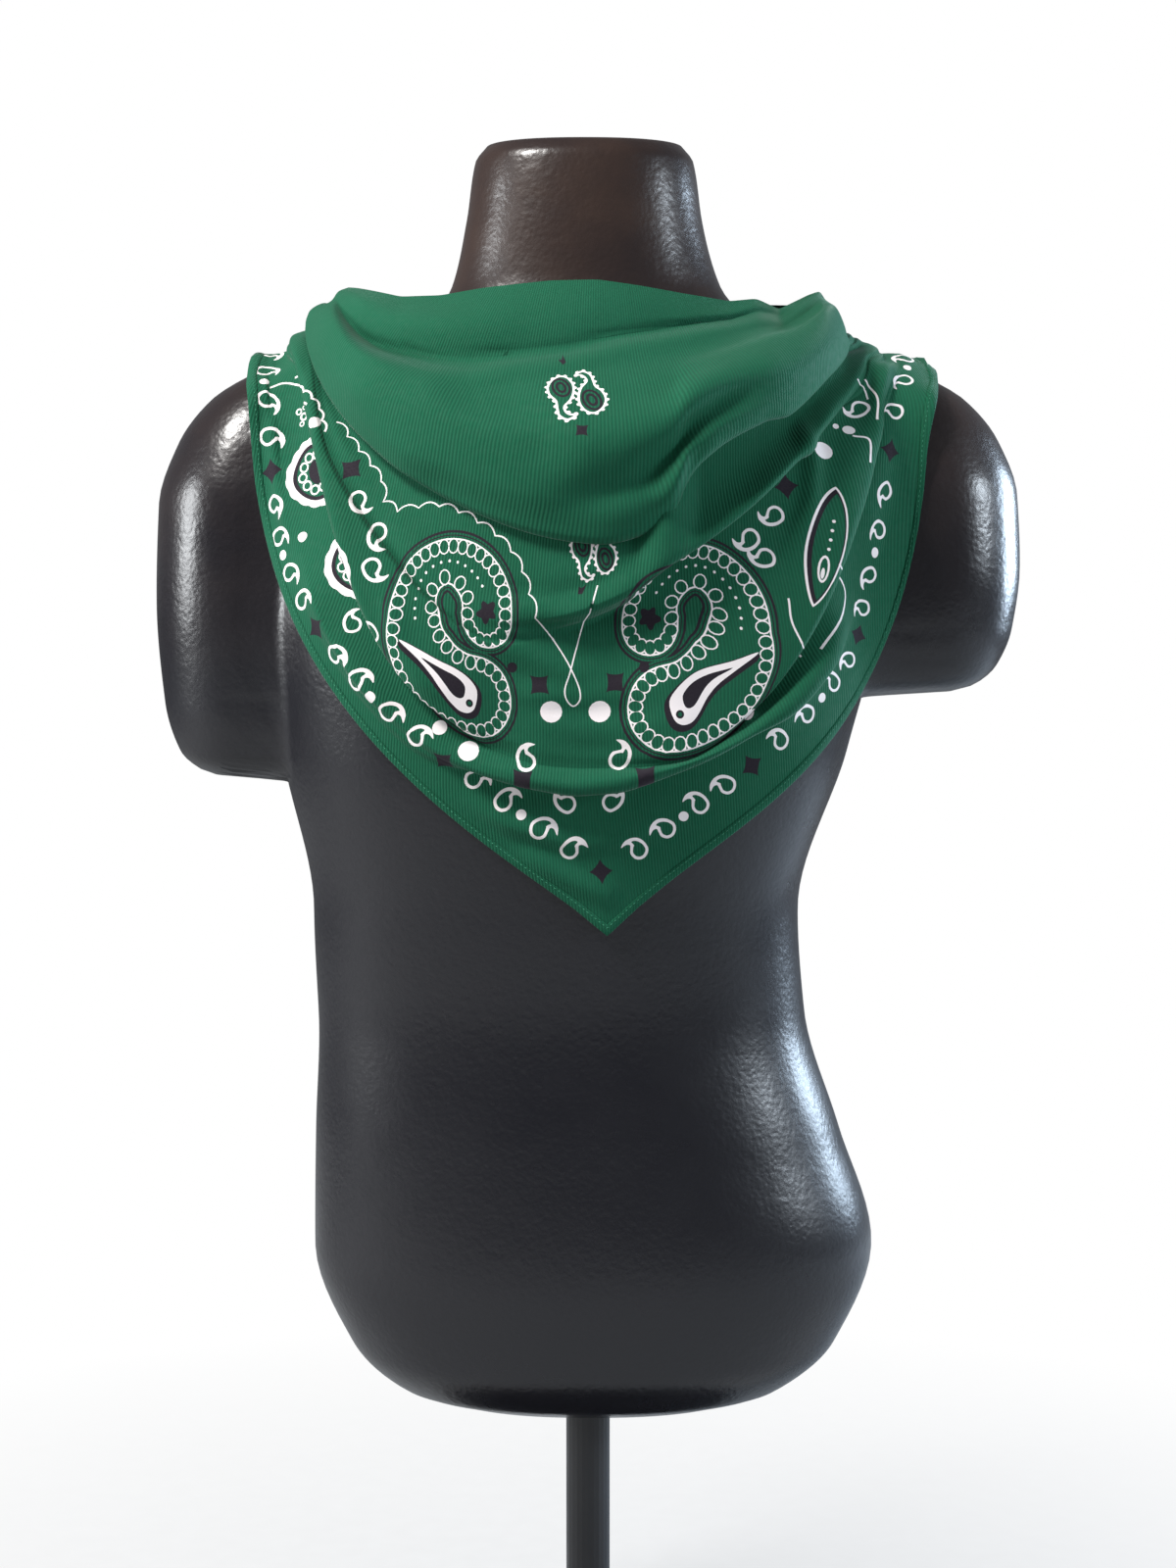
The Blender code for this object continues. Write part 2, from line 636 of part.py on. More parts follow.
def hem_strip(name, surface, normals, finish):
    """The rolled hem, a narrow strip that lies on the cloth along its free edge."""
    rows, ways = [], []
    for line, way in zip(surface, normals):
        back = line[::-1]
        along = np.concatenate([[0.0], np.cumsum(np.linalg.norm(np.diff(back, axis=0), axis=1))])
        wanted = np.array([HEM_WIDTH, HEM_WIDTH / 2, 0.0])
        at = np.stack([np.interp(wanted, along, back[:, i]) for i in range(3)], axis=1)
        out = np.stack([np.interp(wanted, along, way[::-1][:, i]) for i in range(3)], axis=1)
        rows.append(at + out * ((CLOTH_THICKNESS + HEM_THICKNESS) / 2 + HEM_GAP))
        ways.append(out)
    return wall(name, np.array(rows), np.array(ways), finish, HEM_THICKNESS)


def ring_loft(name, rings, finish):
    """A closed body through rings of equal length, capped flat at both ends."""
    count = len(rings[0])
    points = np.concatenate(rings)
    faces = []
    for i in range(len(rings) - 1):
        for j in range(count):
            a, b = i * count + j, i * count + (j + 1) % count
            faces.append((a, b, b + count, a + count))
    faces.append(tuple(range(count))[::-1])
    faces.append(tuple((len(rings) - 1) * count + j for j in range(count)))
    return add_mesh(name, points, faces, finish)


def build_knot(finish):
    """The core that both tails run into, and the wrap that goes once round it."""
    centre = np.array(KNOT_CENTRE)
    turn = np.linspace(0.0, 2 * math.pi, 36, endpoint=False)
    rings = []
    for x, deep, high in CORE_SECTIONS:
        grow = 1 - CORE_GATHER_DEPTH / high * (1 + np.cos(CORE_GATHERS * turn))
        rings.append(np.stack([
            np.full_like(turn, x), deep * grow * np.sin(turn), high * grow * np.cos(turn),
        ], axis=1) + centre)
    ring_loft("knot_core", rings, finish)

    around = np.linspace(0.0, 2 * math.pi, 10, endpoint=False)
    points, faces = [], []
    inner_deep, inner_high = CORE_SECTIONS[3][1] + NODE_GAP, CORE_SECTIONS[3][2] + NODE_GAP
    for t in turn:
        for a in around:
            side = WRAP_HALF_WIDTH * (0.86 + 0.14 * math.cos(t)) * math.cos(a)
            flare = max(0.0, abs(side) - 6.0) * WRAP_FLARE
            out = flare + WRAP_THICKNESS * (0.5 + 0.5 * math.sin(a)) * (1 - 0.02 * abs(side))
            slant = WRAP_SLANT * math.cos(t) * math.sin(t / 2)
            points.append((
                centre[0] + side + slant,
                centre[1] + (inner_deep + out) * math.sin(t),
                centre[2] + (inner_high + out) * math.cos(t),
            ))
    rounds, steps = len(turn), len(around)
    for i in range(rounds):
        for j in range(steps):
            k, m = (i + 1) % rounds, (j + 1) % steps
            faces.append((i * steps + j, i * steps + m, k * steps + m, k * steps + j))
    add_mesh("knot_wrap", points, faces, finish)


def build_loose_end(name, finish):
    """A folded corner of the cloth, gathered where it leaves the knot."""
    start, tip = (np.array(place) for place in LOOSE_ENDS[name])
    shares = np.linspace(0.0, 1.0, 9)
    across = np.linspace(-1.0, 1.0, 11)
    way = (tip - start) / np.linalg.norm(tip - start)
    side = np.cross(way, np.array([0.0, 1.0, 0.0]))
    side /= np.linalg.norm(side)
    out = np.cross(side, way)
    out *= np.sign(out[1])
    places = column(END_SECTIONS, END_COLUMNS, "share")
    half = smooth_curve(shares, places, column(END_SECTIONS, END_COLUMNS, "half_width"))
    gather = smooth_curve(shares, places, column(END_SECTIONS, END_COLUMNS, "gather"))
    wave = np.sin(across * math.pi * END_WAVES)
    grid = (
        start + (tip - start) * shares[:, None, None]
        + side * (half[:, None] * across[None, :])[..., None]
        + out * (gather[:, None] * wave[None, :])[..., None]
    )
    grid = rest_on_form(grid, CLOTH_CLEARANCE)
    return wall(name, grid, cloth_normals(grid), finish, CLOTH_THICKNESS)


def build_cloth(finish):
    surface = whole_cloth()
    normals = cloth_normals(surface)
    left, right = BACK_STEPS, BACK_STEPS + 2 * FRONT_STEPS
    for name, first, last in (
        ("front_drape", left, right), ("back_left", 0, left), ("back_right", right, len(surface) - 1),
    ):
        wall(name, shortened(surface, first, last), normals[first:last + 1], finish, CLOTH_THICKNESS)
    hem_strip("front_hem", surface[left:right + 1], normals[left:right + 1], finish)
    build_knot(finish)
    for name in LOOSE_ENDS:
        build_loose_end(name, finish)


def main():
    clear_scene()
    build_form(ENAMEL)
    turned("pole", POLE_RADIUS, BASE_THICKNESS + NODE_GAP, FORM_BOTTOM - NODE_GAP, STEEL, 24)
    turned("base_plate", BASE_RADIUS, 0.0, BASE_THICKNESS, STEEL, 64)
    build_cloth(COTTON)


main()
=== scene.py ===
"""A printed green cotton bandana, folded corner to corner and tied round a dark display form."""

import math

import bpy
import numpy as np
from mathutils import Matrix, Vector
from mathutils.bvhtree import BVHTree
from mathutils.geometry import delaunay_2d_cdt


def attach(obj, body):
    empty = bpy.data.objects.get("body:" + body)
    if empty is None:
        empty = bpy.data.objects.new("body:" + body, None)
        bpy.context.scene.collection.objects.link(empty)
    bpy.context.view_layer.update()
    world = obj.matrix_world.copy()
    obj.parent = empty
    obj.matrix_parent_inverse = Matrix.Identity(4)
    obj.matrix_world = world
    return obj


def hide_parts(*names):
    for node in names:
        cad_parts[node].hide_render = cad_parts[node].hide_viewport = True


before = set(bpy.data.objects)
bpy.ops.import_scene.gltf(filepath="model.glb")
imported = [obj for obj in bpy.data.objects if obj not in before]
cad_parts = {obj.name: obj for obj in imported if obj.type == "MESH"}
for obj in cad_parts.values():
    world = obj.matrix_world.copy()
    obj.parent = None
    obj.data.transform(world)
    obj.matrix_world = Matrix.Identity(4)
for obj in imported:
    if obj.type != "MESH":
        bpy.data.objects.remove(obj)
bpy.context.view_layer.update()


# ---------------------------------------------------------------- the stand
# A round steel base plate and an upright steel tube, both stove-enamelled in a soft satin black.
# The tube is screwed into the plate from below and carries the form.

ENAMEL_BLACK = (0.012, 0.012, 0.014)
ENAMEL_WORN = (0.045, 0.043, 0.042)
PEEL_SCALE, SCUFF_SCALE = 420.0, 18.0  # repeats a metre


def new_finish(name, colour, roughness):
    """A material with the colour and roughness set on its shader, and its node tree."""
    made = bpy.data.materials.new(name)
    made.use_nodes = True
    shader = made.node_tree.nodes["Principled BSDF"]
    shader.inputs["Base Color"].default_value = (*colour, 1.0)
    shader.inputs["Roughness"].default_value = roughness
    made.diffuse_color = (*colour, 1.0)
    return made, made.node_tree, shader


def add_noise(tree, source, scale, detail=3.0, roughness=0.5):
    """A noise of the given scale, in repeats a metre, read at the source coordinates."""
    noise = tree.nodes.new("ShaderNodeTexNoise")
    noise.inputs["Scale"].default_value = scale
    noise.inputs["Detail"].default_value = detail
    noise.inputs["Roughness"].default_value = roughness
    tree.links.new(source, noise.inputs["Vector"])
    return noise.outputs["Fac"]


def add_range(tree, value, low, high, to_low, to_high):
    """The value, moved from one range to another and held inside it."""
    ranged = tree.nodes.new("ShaderNodeMapRange")
    ranged.inputs["From Min"].default_value = low
    ranged.inputs["From Max"].default_value = high
    ranged.inputs["To Min"].default_value = to_low
    ranged.inputs["To Max"].default_value = to_high
    tree.links.new(value, ranged.inputs["Value"])
    return ranged.outputs["Result"]


def add_blend(tree, share, first, second):
    """A colour between two colours, or between a socket's colour and a colour."""
    blend = tree.nodes.new("ShaderNodeMix")
    blend.data_type = "RGBA"
    tree.links.new(share, blend.inputs[0])
    for socket, colour in ((blend.inputs[6], first), (blend.inputs[7], second)):
        if isinstance(colour, bpy.types.NodeSocket):
            tree.links.new(colour, socket)
        else:
            socket.default_value = (*colour, 1.0)
    return blend.outputs[2]


def add_bump(tree, height, shader, strength, distance):
    """A relief of the given depth in metres on the shader's surface."""
    bump = tree.nodes.new("ShaderNodeBump")
    bump.inputs["Strength"].default_value = strength
    bump.inputs["Distance"].default_value = distance
    tree.links.new(height, bump.inputs["Height"])
    tree.links.new(bump.outputs["Normal"], shader.inputs["Normal"])
    return bump


def object_place(tree):
    return tree.nodes.new("ShaderNodeTexCoord").outputs["Object"]


for part_name, wear_share in (("pole", 0.35), ("base_plate", 0.6)):
    enamel, tree, shader = new_finish(f"satin_enamel_{part_name}", ENAMEL_BLACK, 0.34)
    place = object_place(tree)
    peel = add_noise(tree, place, PEEL_SCALE, 2.0)
    scuff = add_noise(tree, place, SCUFF_SCALE, 5.0, 0.62)
    scuffed = add_range(tree, scuff, 0.56, 0.78, 0.0, wear_share)
    tree.links.new(add_blend(tree, scuffed, ENAMEL_BLACK, ENAMEL_WORN), shader.inputs["Base Color"])
    tree.links.new(add_range(tree, scuff, 0.3, 0.75, 0.28, 0.5), shader.inputs["Roughness"])
    add_bump(tree, peel, shader, 0.35, 0.0002)
    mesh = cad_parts[part_name].data
    mesh.materials.clear()
    mesh.materials.append(enamel)


# ---------------------------------------------------------------- the display form
# A limbless torso with short rounded stubs for shoulders, moulded in one hollow shell of hard
# plastic. It is sprayed a charcoal satin with a fine leathery grain, warmer on the shoulders.

MM = 0.001
FORM_CHARCOAL = (0.007, 0.007, 0.010)
FORM_BRONZE = (0.040, 0.021, 0.014)
CLOUD_SCALE, DIMPLE_SCALE, PEBBLE_SCALE, SPECK_SCALE = 7.0, 95.0, 330.0, 520.0  # repeats a metre
FORM_BOTTOM, FORM_TOP = 190.0, 890.0
TORSO_SQUARENESS = 2.3
SHOULDER_BLEND = 16.0  # how near they are where the torso and a stub melt into each other
STUB_CENTRE_Y = 2.0
STUB_FALL = 2.2  # how steeply the shape falls away beside a stub
SEGMENTS_ROUND = 168

# Height, sideways lean, half width, depth in front of the axis and behind it, in millimetres.
TORSO_COLUMNS = ("z", "lean", "half_width", "front", "back")
TORSO_SECTIONS = (
    (190, 2, 84, 52, 60),
    (200, 2, 112, 74, 82),
    (225, 3, 138, 92, 103),
    (280, 3, 158, 101, 116),
    (345, -6, 148, 97, 101),
    (412, -15, 137, 93, 86),
    (470, -18, 136, 99, 88),
    (560, -13, 158, 113, 100),
    (640, -6, 170, 118, 110),
    (700, 0, 171, 108, 113),
    (740, 0, 168, 90, 108),
    (766, 0, 150, 76, 96),
    (782, 0, 116, 67, 84),
    (797, 0, 88, 61, 73),
    (815, -1, 74, 57, 66),
    (850, -2, 65, 55, 61),
    (882, -2, 60, 52, 58),
    (890, -2, 54, 46, 52),
)

# Height on the right and on the left, distance of the centre from the axis, radius.
STUB_COLUMNS = ("right_z", "left_z", "centre", "radius")
STUB_SECTIONS = (
    (590, 542, 186, 14),
    (595, 547, 187, 30),
    (606, 558, 188, 41),
    (626, 585, 189, 48),
    (660, 640, 189, 52),
    (700, 695, 187, 52),
    (730, 728, 182, 46),
    (752, 752, 174, 36),
    (767, 768, 164, 20),
    (774, 775, 158, 6),
)


def column(table, columns, name):
    return np.array([row[columns.index(name)] for row in table], float)


def smooth_curve(at, places, values):
    """A curve through the values that never overshoots them (a monotone cubic)."""
    places, values = np.asarray(places, float), np.asarray(values, float)
    step, rise = np.diff(places), np.diff(values)
    slope = rise / step
    tangent = np.zeros_like(values)
    same = slope[:-1] * slope[1:] > 0
    tangent[1:-1][same] = 2 * slope[:-1][same] * slope[1:][same] / (slope[:-1] + slope[1:])[same]
    tangent[0], tangent[-1] = slope[0], slope[-1]
    at = np.clip(at, places[0], places[-1])
    i = np.clip(np.searchsorted(places, at, side="right") - 1, 0, len(step) - 1)
    t = (at - places[i]) / step[i]
    return (
        values[i] * (1 + 2 * t) * (1 - t) ** 2
        + tangent[i] * step[i] * t * (1 - t) ** 2
        + values[i + 1] * t**2 * (3 - 2 * t)
        + tangent[i + 1] * step[i] * t**2 * (t - 1)
    )


def torso_size(z, name):
    return smooth_curve(z, column(TORSO_SECTIONS, TORSO_COLUMNS, "z"),
                        column(TORSO_SECTIONS, TORSO_COLUMNS, name))


def stub_size(x, z, name):
    """A size of the stub on the side where x lies."""
    values = column(STUB_SECTIONS, STUB_COLUMNS, name)
    sizes = []
    for hand in ("left_z", "right_z"):
        heights = column(STUB_SECTIONS, STUB_COLUMNS, hand)
        found = smooth_curve(z, heights, values)
        if name == "radius":
            found = np.where((z >= heights[0]) & (z <= heights[-1]), found, 0.0)
        sizes.append(found)
    return np.where(x < 0, sizes[0], sizes[1])


def form_radius(angle, z):
    """Distance from the middle of the form to its surface. Angle 0 is +X, and 90 degrees +Y."""
    across, deep = np.cos(angle), np.sin(angle)
    half_width, lean = torso_size(z, "half_width"), torso_size(z, "lean")
    depth = np.where(deep < 0, torso_size(z, "front"), torso_size(z, "back"))
    n = TORSO_SQUARENESS
    torso = ((np.abs(across) / half_width) ** n + (np.abs(deep) / depth) ** n) ** (-1 / n)
    radius = stub_size(across, z, "radius")
    centre = stub_size(across, z, "centre") - np.sign(across) * lean
    sideways = centre * np.abs(deep) - STUB_CENTRE_Y * np.abs(across) * np.sign(deep)
    forward = centre * np.abs(across) + STUB_CENTRE_Y * deep
    beside = np.maximum(np.abs(sideways) - radius, 0.0)
    stub = forward + np.sqrt(np.maximum(radius**2 - sideways**2, 0.0)) - STUB_FALL * beside
    stub = np.where(radius > 0, stub, 0.0)
    near = np.maximum(SHOULDER_BLEND - np.abs(torso - stub), 0.0) / SHOULDER_BLEND
    return np.maximum(torso, stub) + near**2 * SHOULDER_BLEND / 4


def take_up(mesh):
    """The mesh's points as an array in millimetres."""
    points = np.empty(len(mesh.vertices) * 3, np.float64)
    mesh.vertices.foreach_get("co", points)
    return points.reshape(-1, 3) / MM


def put_back(mesh, points):
    mesh.vertices.foreach_set("co", (np.asarray(points, np.float32) * MM).ravel())
    mesh.update()


# Ring heights: closer under the arm stubs and at the neck's rim, and the two flat ends closed.
ring_heights = np.unique(np.concatenate([
    np.arange(FORM_BOTTOM, 232.0, 3.0), np.arange(232.0, 536.0, 7.6), np.arange(536.0, 640.0, 2.9),
    np.arange(640.0, 730.0, 7.0), np.arange(730.0, 880.0, 4.0), np.arange(880.0, FORM_TOP + 1, 2.5),
]))
cap_shares = (0.3, 0.62, 0.86, 0.96)
rings = (
    [(FORM_TOP, share) for share in cap_shares] + [(z, 1.0) for z in ring_heights[::-1]]
    + [(FORM_BOTTOM, share) for share in cap_shares[::-1]]
)
bpy.ops.object.select_all(action="DESELECT")
bpy.ops.mesh.primitive_uv_sphere_add(
    segments=SEGMENTS_ROUND, ring_count=len(rings) + 1, radius=100 * MM, location=(0, 0, 0),
)
display_form = bpy.context.active_object
display_form.name = display_form.data.name = "display_form"
sphere = take_up(display_form.data)
ring_number = np.rint(
    np.arccos(np.clip(sphere[:, 2] / 100, -1, 1)) / math.pi * (len(rings) + 1)).astype(int)
turn = np.arctan2(sphere[:, 1], sphere[:, 0])
angle = turn - 0.3 * np.sin(2 * turn)  # closer together on the stubs
ends = [(FORM_TOP, 0.0)] + rings + [(FORM_BOTTOM, 0.0)]
z = np.array([height for height, _ in ends])[ring_number]
share = np.array([part for _, part in ends])[ring_number]
radius = form_radius(angle, z) * share
put_back(display_form.data, np.stack([
    torso_size(z, "lean") + radius * np.cos(angle), radius * np.sin(angle), z,
], axis=1))
display_form.data.shade_smooth()
display_form.select_set(True)
bpy.ops.object.shade_smooth_by_angle(angle=math.radians(50))


def add_math(tree, operation, first, second):
    """The sum or product of two values."""
    made = tree.nodes.new("ShaderNodeMath")
    made.operation = operation
    tree.links.new(first, made.inputs[0])
    tree.links.new(second, made.inputs[1])
    return made.outputs[0]


charcoal, tree, shader = new_finish("charcoal_satin", FORM_CHARCOAL, 0.4)
place = object_place(tree)
split = tree.nodes.new("ShaderNodeSeparateXYZ")
tree.links.new(place, split.inputs["Vector"])
cloud = add_noise(tree, place, CLOUD_SCALE, 5.0, 0.6)
high_up = add_range(tree, split.outputs["Z"], 0.60, 0.86, 0.0, 0.85)
patch = add_range(tree, cloud, 0.38, 0.66, 0.25, 1.0)
warm = add_math(tree, "MULTIPLY", high_up, patch)
tree.links.new(add_blend(tree, warm, FORM_CHARCOAL, FORM_BRONZE), shader.inputs["Base Color"])
tree.links.new(add_range(tree, cloud, 0.3, 0.7, 0.22, 0.38), shader.inputs["Roughness"])
pebble = tree.nodes.new("ShaderNodeTexVoronoi")
pebble.feature = "SMOOTH_F1"
pebble.inputs["Scale"].default_value = PEBBLE_SCALE
pebble.inputs["Smoothness"].default_value = 0.9
pebble.inputs["Randomness"].default_value = 1.0
tree.links.new(place, pebble.inputs["Vector"])
speck = add_noise(tree, place, SPECK_SCALE, 3.0)
dimple = add_noise(tree, place, DIMPLE_SCALE, 4.0, 0.55)
grain = add_math(tree, "ADD", pebble.outputs["Distance"], add_range(tree, dimple, 0.2, 0.8, 0.0, 1.1))
grain = add_math(tree, "ADD", grain, add_range(tree, speck, 0.2, 0.8, 0.0, 0.5))
add_bump(tree, grain, shader, 0.24, 0.0005)
display_form.data.materials.append(charcoal)
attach(display_form, "root")
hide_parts("torso_form")


# ---------------------------------------------------------------- the bandana's folds
# A 27 inch square of printed cotton, folded once on its diagonal into a doubled triangle. Its
# fold lines run from shoulder to shoulder and on to the nape, and the slack falls in laid pleats.

CLOTH_THICKNESS = 1.2
CLOTH_CLEARANCE = 2.4  # from the form to the middle of the cloth

LINE_COLUMNS = (
    "name", "low_x", "low_z", "low_y", "low_slope",
    "left_x", "left_z", "left_y", "left_flat", "left_steep", "left_lean",
    "right_x", "right_z", "right_y", "right_flat", "right_steep", "right_lean", "hug",
)
FOLD_LINES = (
    ("top", 0, 809, -82, 0, -134, 811, 2, 0.5, 0.3, 0, 124, 806, 2, 0.5, 0.3, 0, 0.0),
    ("crease", -48, 761, -121, 0, -141, 804, -4, 0.44, 0.95, 0.99, 131, 804, -4, 0.16, 0.17, -0.4, 0),
    ("cowl", 10, 722, -148, 0, -147, 801, -8, 0.5, 0.45, 0, 136, 795, -8, 0.3, 0.25, 0, 0),
    ("lip", 6, 677, -136, 0, -150, 797, -6, 0.47, 0.49, 0.13, 139, 786, -6, 0.26, 0.22, 0, 0),
    ("swag", -44, 634, -133, 0, -149, 793, -5, 0.31, 0.42, 0.1, 152, 782, -4, 0.43, 0.19, 0, 0.4),
    ("side", 29, 567, -124, 0, -159, 785, -3, 0.74, 0.82, 0.28, 161, 775, -3, 0.25, 0.92, 0.17, 0.9),
    ("bib", -5, 547, -122, 0, -169, 777, -2, 0.76, 0.4, 0, 171, 768, -2, 0.34, 0.73, -0.1, 1),
    ("hem", 10, 467, -104, 1, -181, 768, 0, 0.23, 0.62, -0.08, 184, 760, 0, 0.42, 0.71, 0, 1),
)
PLEAT_PLACES = (-1.0, -0.6, -0.3, 0.0, 0.3, 0.6, 1.0)
PLEATS = (  # fold line, laps, heights of the edge, and how far above it the cloth starts to rise
    ("lip", (12, 20, 24, 24, 18, 14, 10), (4, 11, 14, 15, 12, 10, 4), 66.0),
    ("swag", (0, 0, 0, 4, 14, 14, 0), (0, 0, 1, 4, 10, 7, 3), 46.0),
    ("side", (12, 16, 12, 0, 9, 14, 10), (4, 9, 7, 1, 6, 9, 1), 44.0),
    ("bib", (0, 0, 6, 17, 14, 5, 0), (0, 0, 4, 9, 9, 4, 1), 48.0),
)
CREASE_DENT = (1.5, 4.0, 4.0, 2.5, 2.5, 3.5, 1.5)  # how far in the crease lies, at the pleat places
LAP_LIMIT = 0.34  # the widest lap, as a share of the stretch that rises to it
LAP_PER_HEIGHT = 2.4
LEAST_LAPPED = 4.8  # a pleat that stands no higher than this isn't lapped
LAP_FADES = 1.6  # laps last longer towards the knot than heights do
FULL_PLEAT = 4.0  # the height or lap at which it counts as a whole pleat
PLEAT_TURN = 5.0
TURN_OF_LAP, TURN_OF_BELOW = 0.45, 0.35  # the widest turn, as shares of the lap and the step below
PLEAT_SPREAD = 22.0
BLENDS = 2  # how often neighbouring columns are evened out
PLEAT_ROWS = (  # flat_at, of_turn, of_lap, height
    (0.00, -1.0, 0.0, 1.00),
    (0.12, 0.0, 0.0, 0.76),
    (0.24, -0.9, 0.0, 0.52),
    (0.36, 0.9, -1.0, 0.48),
    (0.48, 0.0, -1.0, 0.24),
    (0.60, 1.0, -1.0, 0.0),
)
PLAIN_STEPS = {"top": 2, "crease": 2, "cowl": 2, "lip": 2, "swag": 1, "side": 1, "bib": 3}
GATHER_HEIGHT = 1.8
GATHERS = 3.5
KNOT_CENTRE = (0.0, 105.0, 793.0)
KNOT_HALF_WIDTH = 20.0
KNOT_ENTRY_HEIGHT, KNOT_ENTRY_DEPTH = 42.0, 4.0  # from the top line to the hem, and forwards
BAND_LEAVES = (8.0, 52.0, 4.0)  # how a band leaves the shoulder: inwards, back and up
BAND_ARRIVES = (62.0, -4.0, 2.0)  # where it comes from at the knot: outwards, back and up
NODE_GAP = 0.3
CORNER_X = 10.0  # the hanging corner is a little to the right
LINE_SAMPLES, GRID_SAMPLES, FINE_SAMPLES = 301, 90, 400
BRIDGE_SAMPLES = 10
FRONT_STEPS = 18
BACK_STEPS = 7


def ease(t):
    """0 to 1 with level ends."""
    t = np.clip(t, 0.0, 1.0)
    return t * t * (3 - 2 * t)


def bezier(start, leave, arrive, end, t):
    t = np.asarray(t)[:, None]
    return (
        (1 - t) ** 3 * start + 3 * (1 - t) ** 2 * t * leave
        + 3 * (1 - t) * t**2 * arrive + t**3 * end
    )


def run_of(points):
    """How far along a line of points each of them is."""
    return np.concatenate([[0.0], np.cumsum(np.linalg.norm(np.diff(points, axis=0), axis=1))])


def read_off(at, places, values):
    """The rows of values at the given places, in straight steps between the known ones."""
    return np.stack([np.interp(at, places, values[:, i]) for i in range(values.shape[1])], axis=1)


def evenly(points, count):
    """The same line with count points at equal steps along it."""
    along = run_of(points)
    return read_off(np.linspace(0.0, along[-1], count), along, points)


def unit(ways):
    """The same ways, each one long."""
    return ways / np.maximum(np.linalg.norm(ways, axis=-1, keepdims=True), 1e-9)


def form_front(x, z):
    """How far in front of the axis the form's surface lies, or 0 outside its outline."""
    deep = np.linspace(0.0, 150.0, 101)[None, :]
    aside = (x - torso_size(z, "lean"))[:, None]
    inside = np.hypot(aside, deep) < form_radius(np.arctan2(-deep, aside), z[:, None] + 0 * deep)
    return np.where(inside, deep, 0.0).max(axis=1)


def form_distance(points):
    """Roughly how far each point is outside the form, and the way out."""
    step = 0.5

    def depth(p):
        z = np.clip(p[..., 2], FORM_BOTTOM, FORM_TOP)
        x = p[..., 0] - torso_size(z, "lean")
        return np.hypot(x, p[..., 1]) - form_radius(np.arctan2(p[..., 1], x), z)

    here = depth(points)
    slope = np.stack([
        (depth(points + step * axis) - depth(points - step * axis)) / (2 * step)
        for axis in np.eye(3)
    ], axis=-1)
    steepness = np.maximum(np.linalg.norm(slope, axis=-1), 1e-6)
    return here / steepness, slope / steepness[..., None]


REST_ROUNDS, LONGEST_PUSH = 10, 12.0


def rest_on_form(grid, clearance):
    """Moves a grid of points out until they, and the places halfway between neighbours, are that
    far from the form. Points further off stay."""
    for _ in range(REST_ROUNDS):
        distance, way_out = form_distance(grid)
        push = way_out * np.clip(clearance - distance, 0.0, LONGEST_PUSH)[..., None]
        for low, high in ((np.s_[:-1], np.s_[1:]), (np.s_[:, :-1], np.s_[:, 1:])):
            distance, way_out = form_distance((grid[low] + grid[high]) / 2)
            half = way_out * np.clip(clearance - distance, 0.0, LONGEST_PUSH)[..., None]
            for part in (low, high):
                longer = np.linalg.norm(half, axis=-1) > np.linalg.norm(push[part], axis=-1)
                push[part] = np.where(longer[..., None], half, push[part])
        grid = grid + push
    return grid


def bridged(depth):
    """The depths along a line, made smooth and never behind the given ones: cloth spans hollows."""
    reach = BRIDGE_SAMPLES
    padded = np.pad(depth, 2 * reach, mode="edge")
    nearest = np.lib.stride_tricks.sliding_window_view(padded, 2 * reach + 1).min(axis=1)
    return np.lib.stride_tricks.sliding_window_view(nearest, 2 * reach + 1).mean(axis=1)


def front_line(size, count):
    """A fold line from the left shoulder to the right one, as points at equal steps on each side
    of the corner that hangs in front."""
    low = np.array([size["low_x"], size["low_y"], size["low_z"]], float)
    halves = []
    for hand in ("left", "right"):
        end = np.array([size[f"{hand}_{axis}"] for axis in "xyz"], float)
        width, rise = end[0] - low[0], end[2] - low[2]
        leave = low + size[f"{hand}_flat"] * np.array([width, 0.0, size["low_slope"] * abs(width)])
        back = size[f"{hand}_steep"] * rise
        arrive = end - np.array([np.sign(width) * size[f"{hand}_lean"] * back, 0.0, back])
        line = bezier(low, leave, arrive, end, np.linspace(0.0, 1.0, LINE_SAMPLES))
        share = np.clip((line[:, 0] - low[0]) / width, 0.0, 1.0)
        line[:, 1] = end[1] + (low[1] - end[1]) * np.sqrt(1 - share**2)
        halves.append(line)
    line = evenly(np.concatenate([halves[0][::-1], halves[1][1:]]), LINE_SAMPLES)
    lying = bridged(-form_front(line[:, 0], line[:, 2]) - CLOTH_CLEARANCE)
    to_end = np.minimum(np.arange(LINE_SAMPLES), np.arange(LINE_SAMPLES)[::-1]) / BRIDGE_SAMPLES
    line[:, 1] += size["hug"] * ease(to_end) * (lying - line[:, 1])
    middle = int(np.argmin(np.abs(line[:, 0] - CORNER_X)))
    return np.concatenate([evenly(line[:middle + 1], count), evenly(line[middle:], count)[1:]])


def back_line(size, hand, rank, count):
    """The same line from the shoulder to the knot. rank is 0 at the top fold and 1 at the hem."""
    side = -1 if hand == "left" else 1
    start = np.array([size[f"{hand}_{axis}"] for axis in "xyz"], float)
    end = np.array([
        side * (KNOT_HALF_WIDTH + NODE_GAP),
        KNOT_CENTRE[1] - KNOT_ENTRY_DEPTH,
        KNOT_CENTRE[2] + KNOT_ENTRY_HEIGHT * (0.5 - rank),
    ])
    inwards, back, up = BAND_LEAVES
    leave = start + np.array([-side * inwards * rank, back, up * rank])
    outwards, back, up = BAND_ARRIVES
    arrive = end + np.array([side * outwards, back, up])
    return evenly(bezier(start, leave, arrive, end, np.linspace(0.0, 1.0, 4 * count)), count)


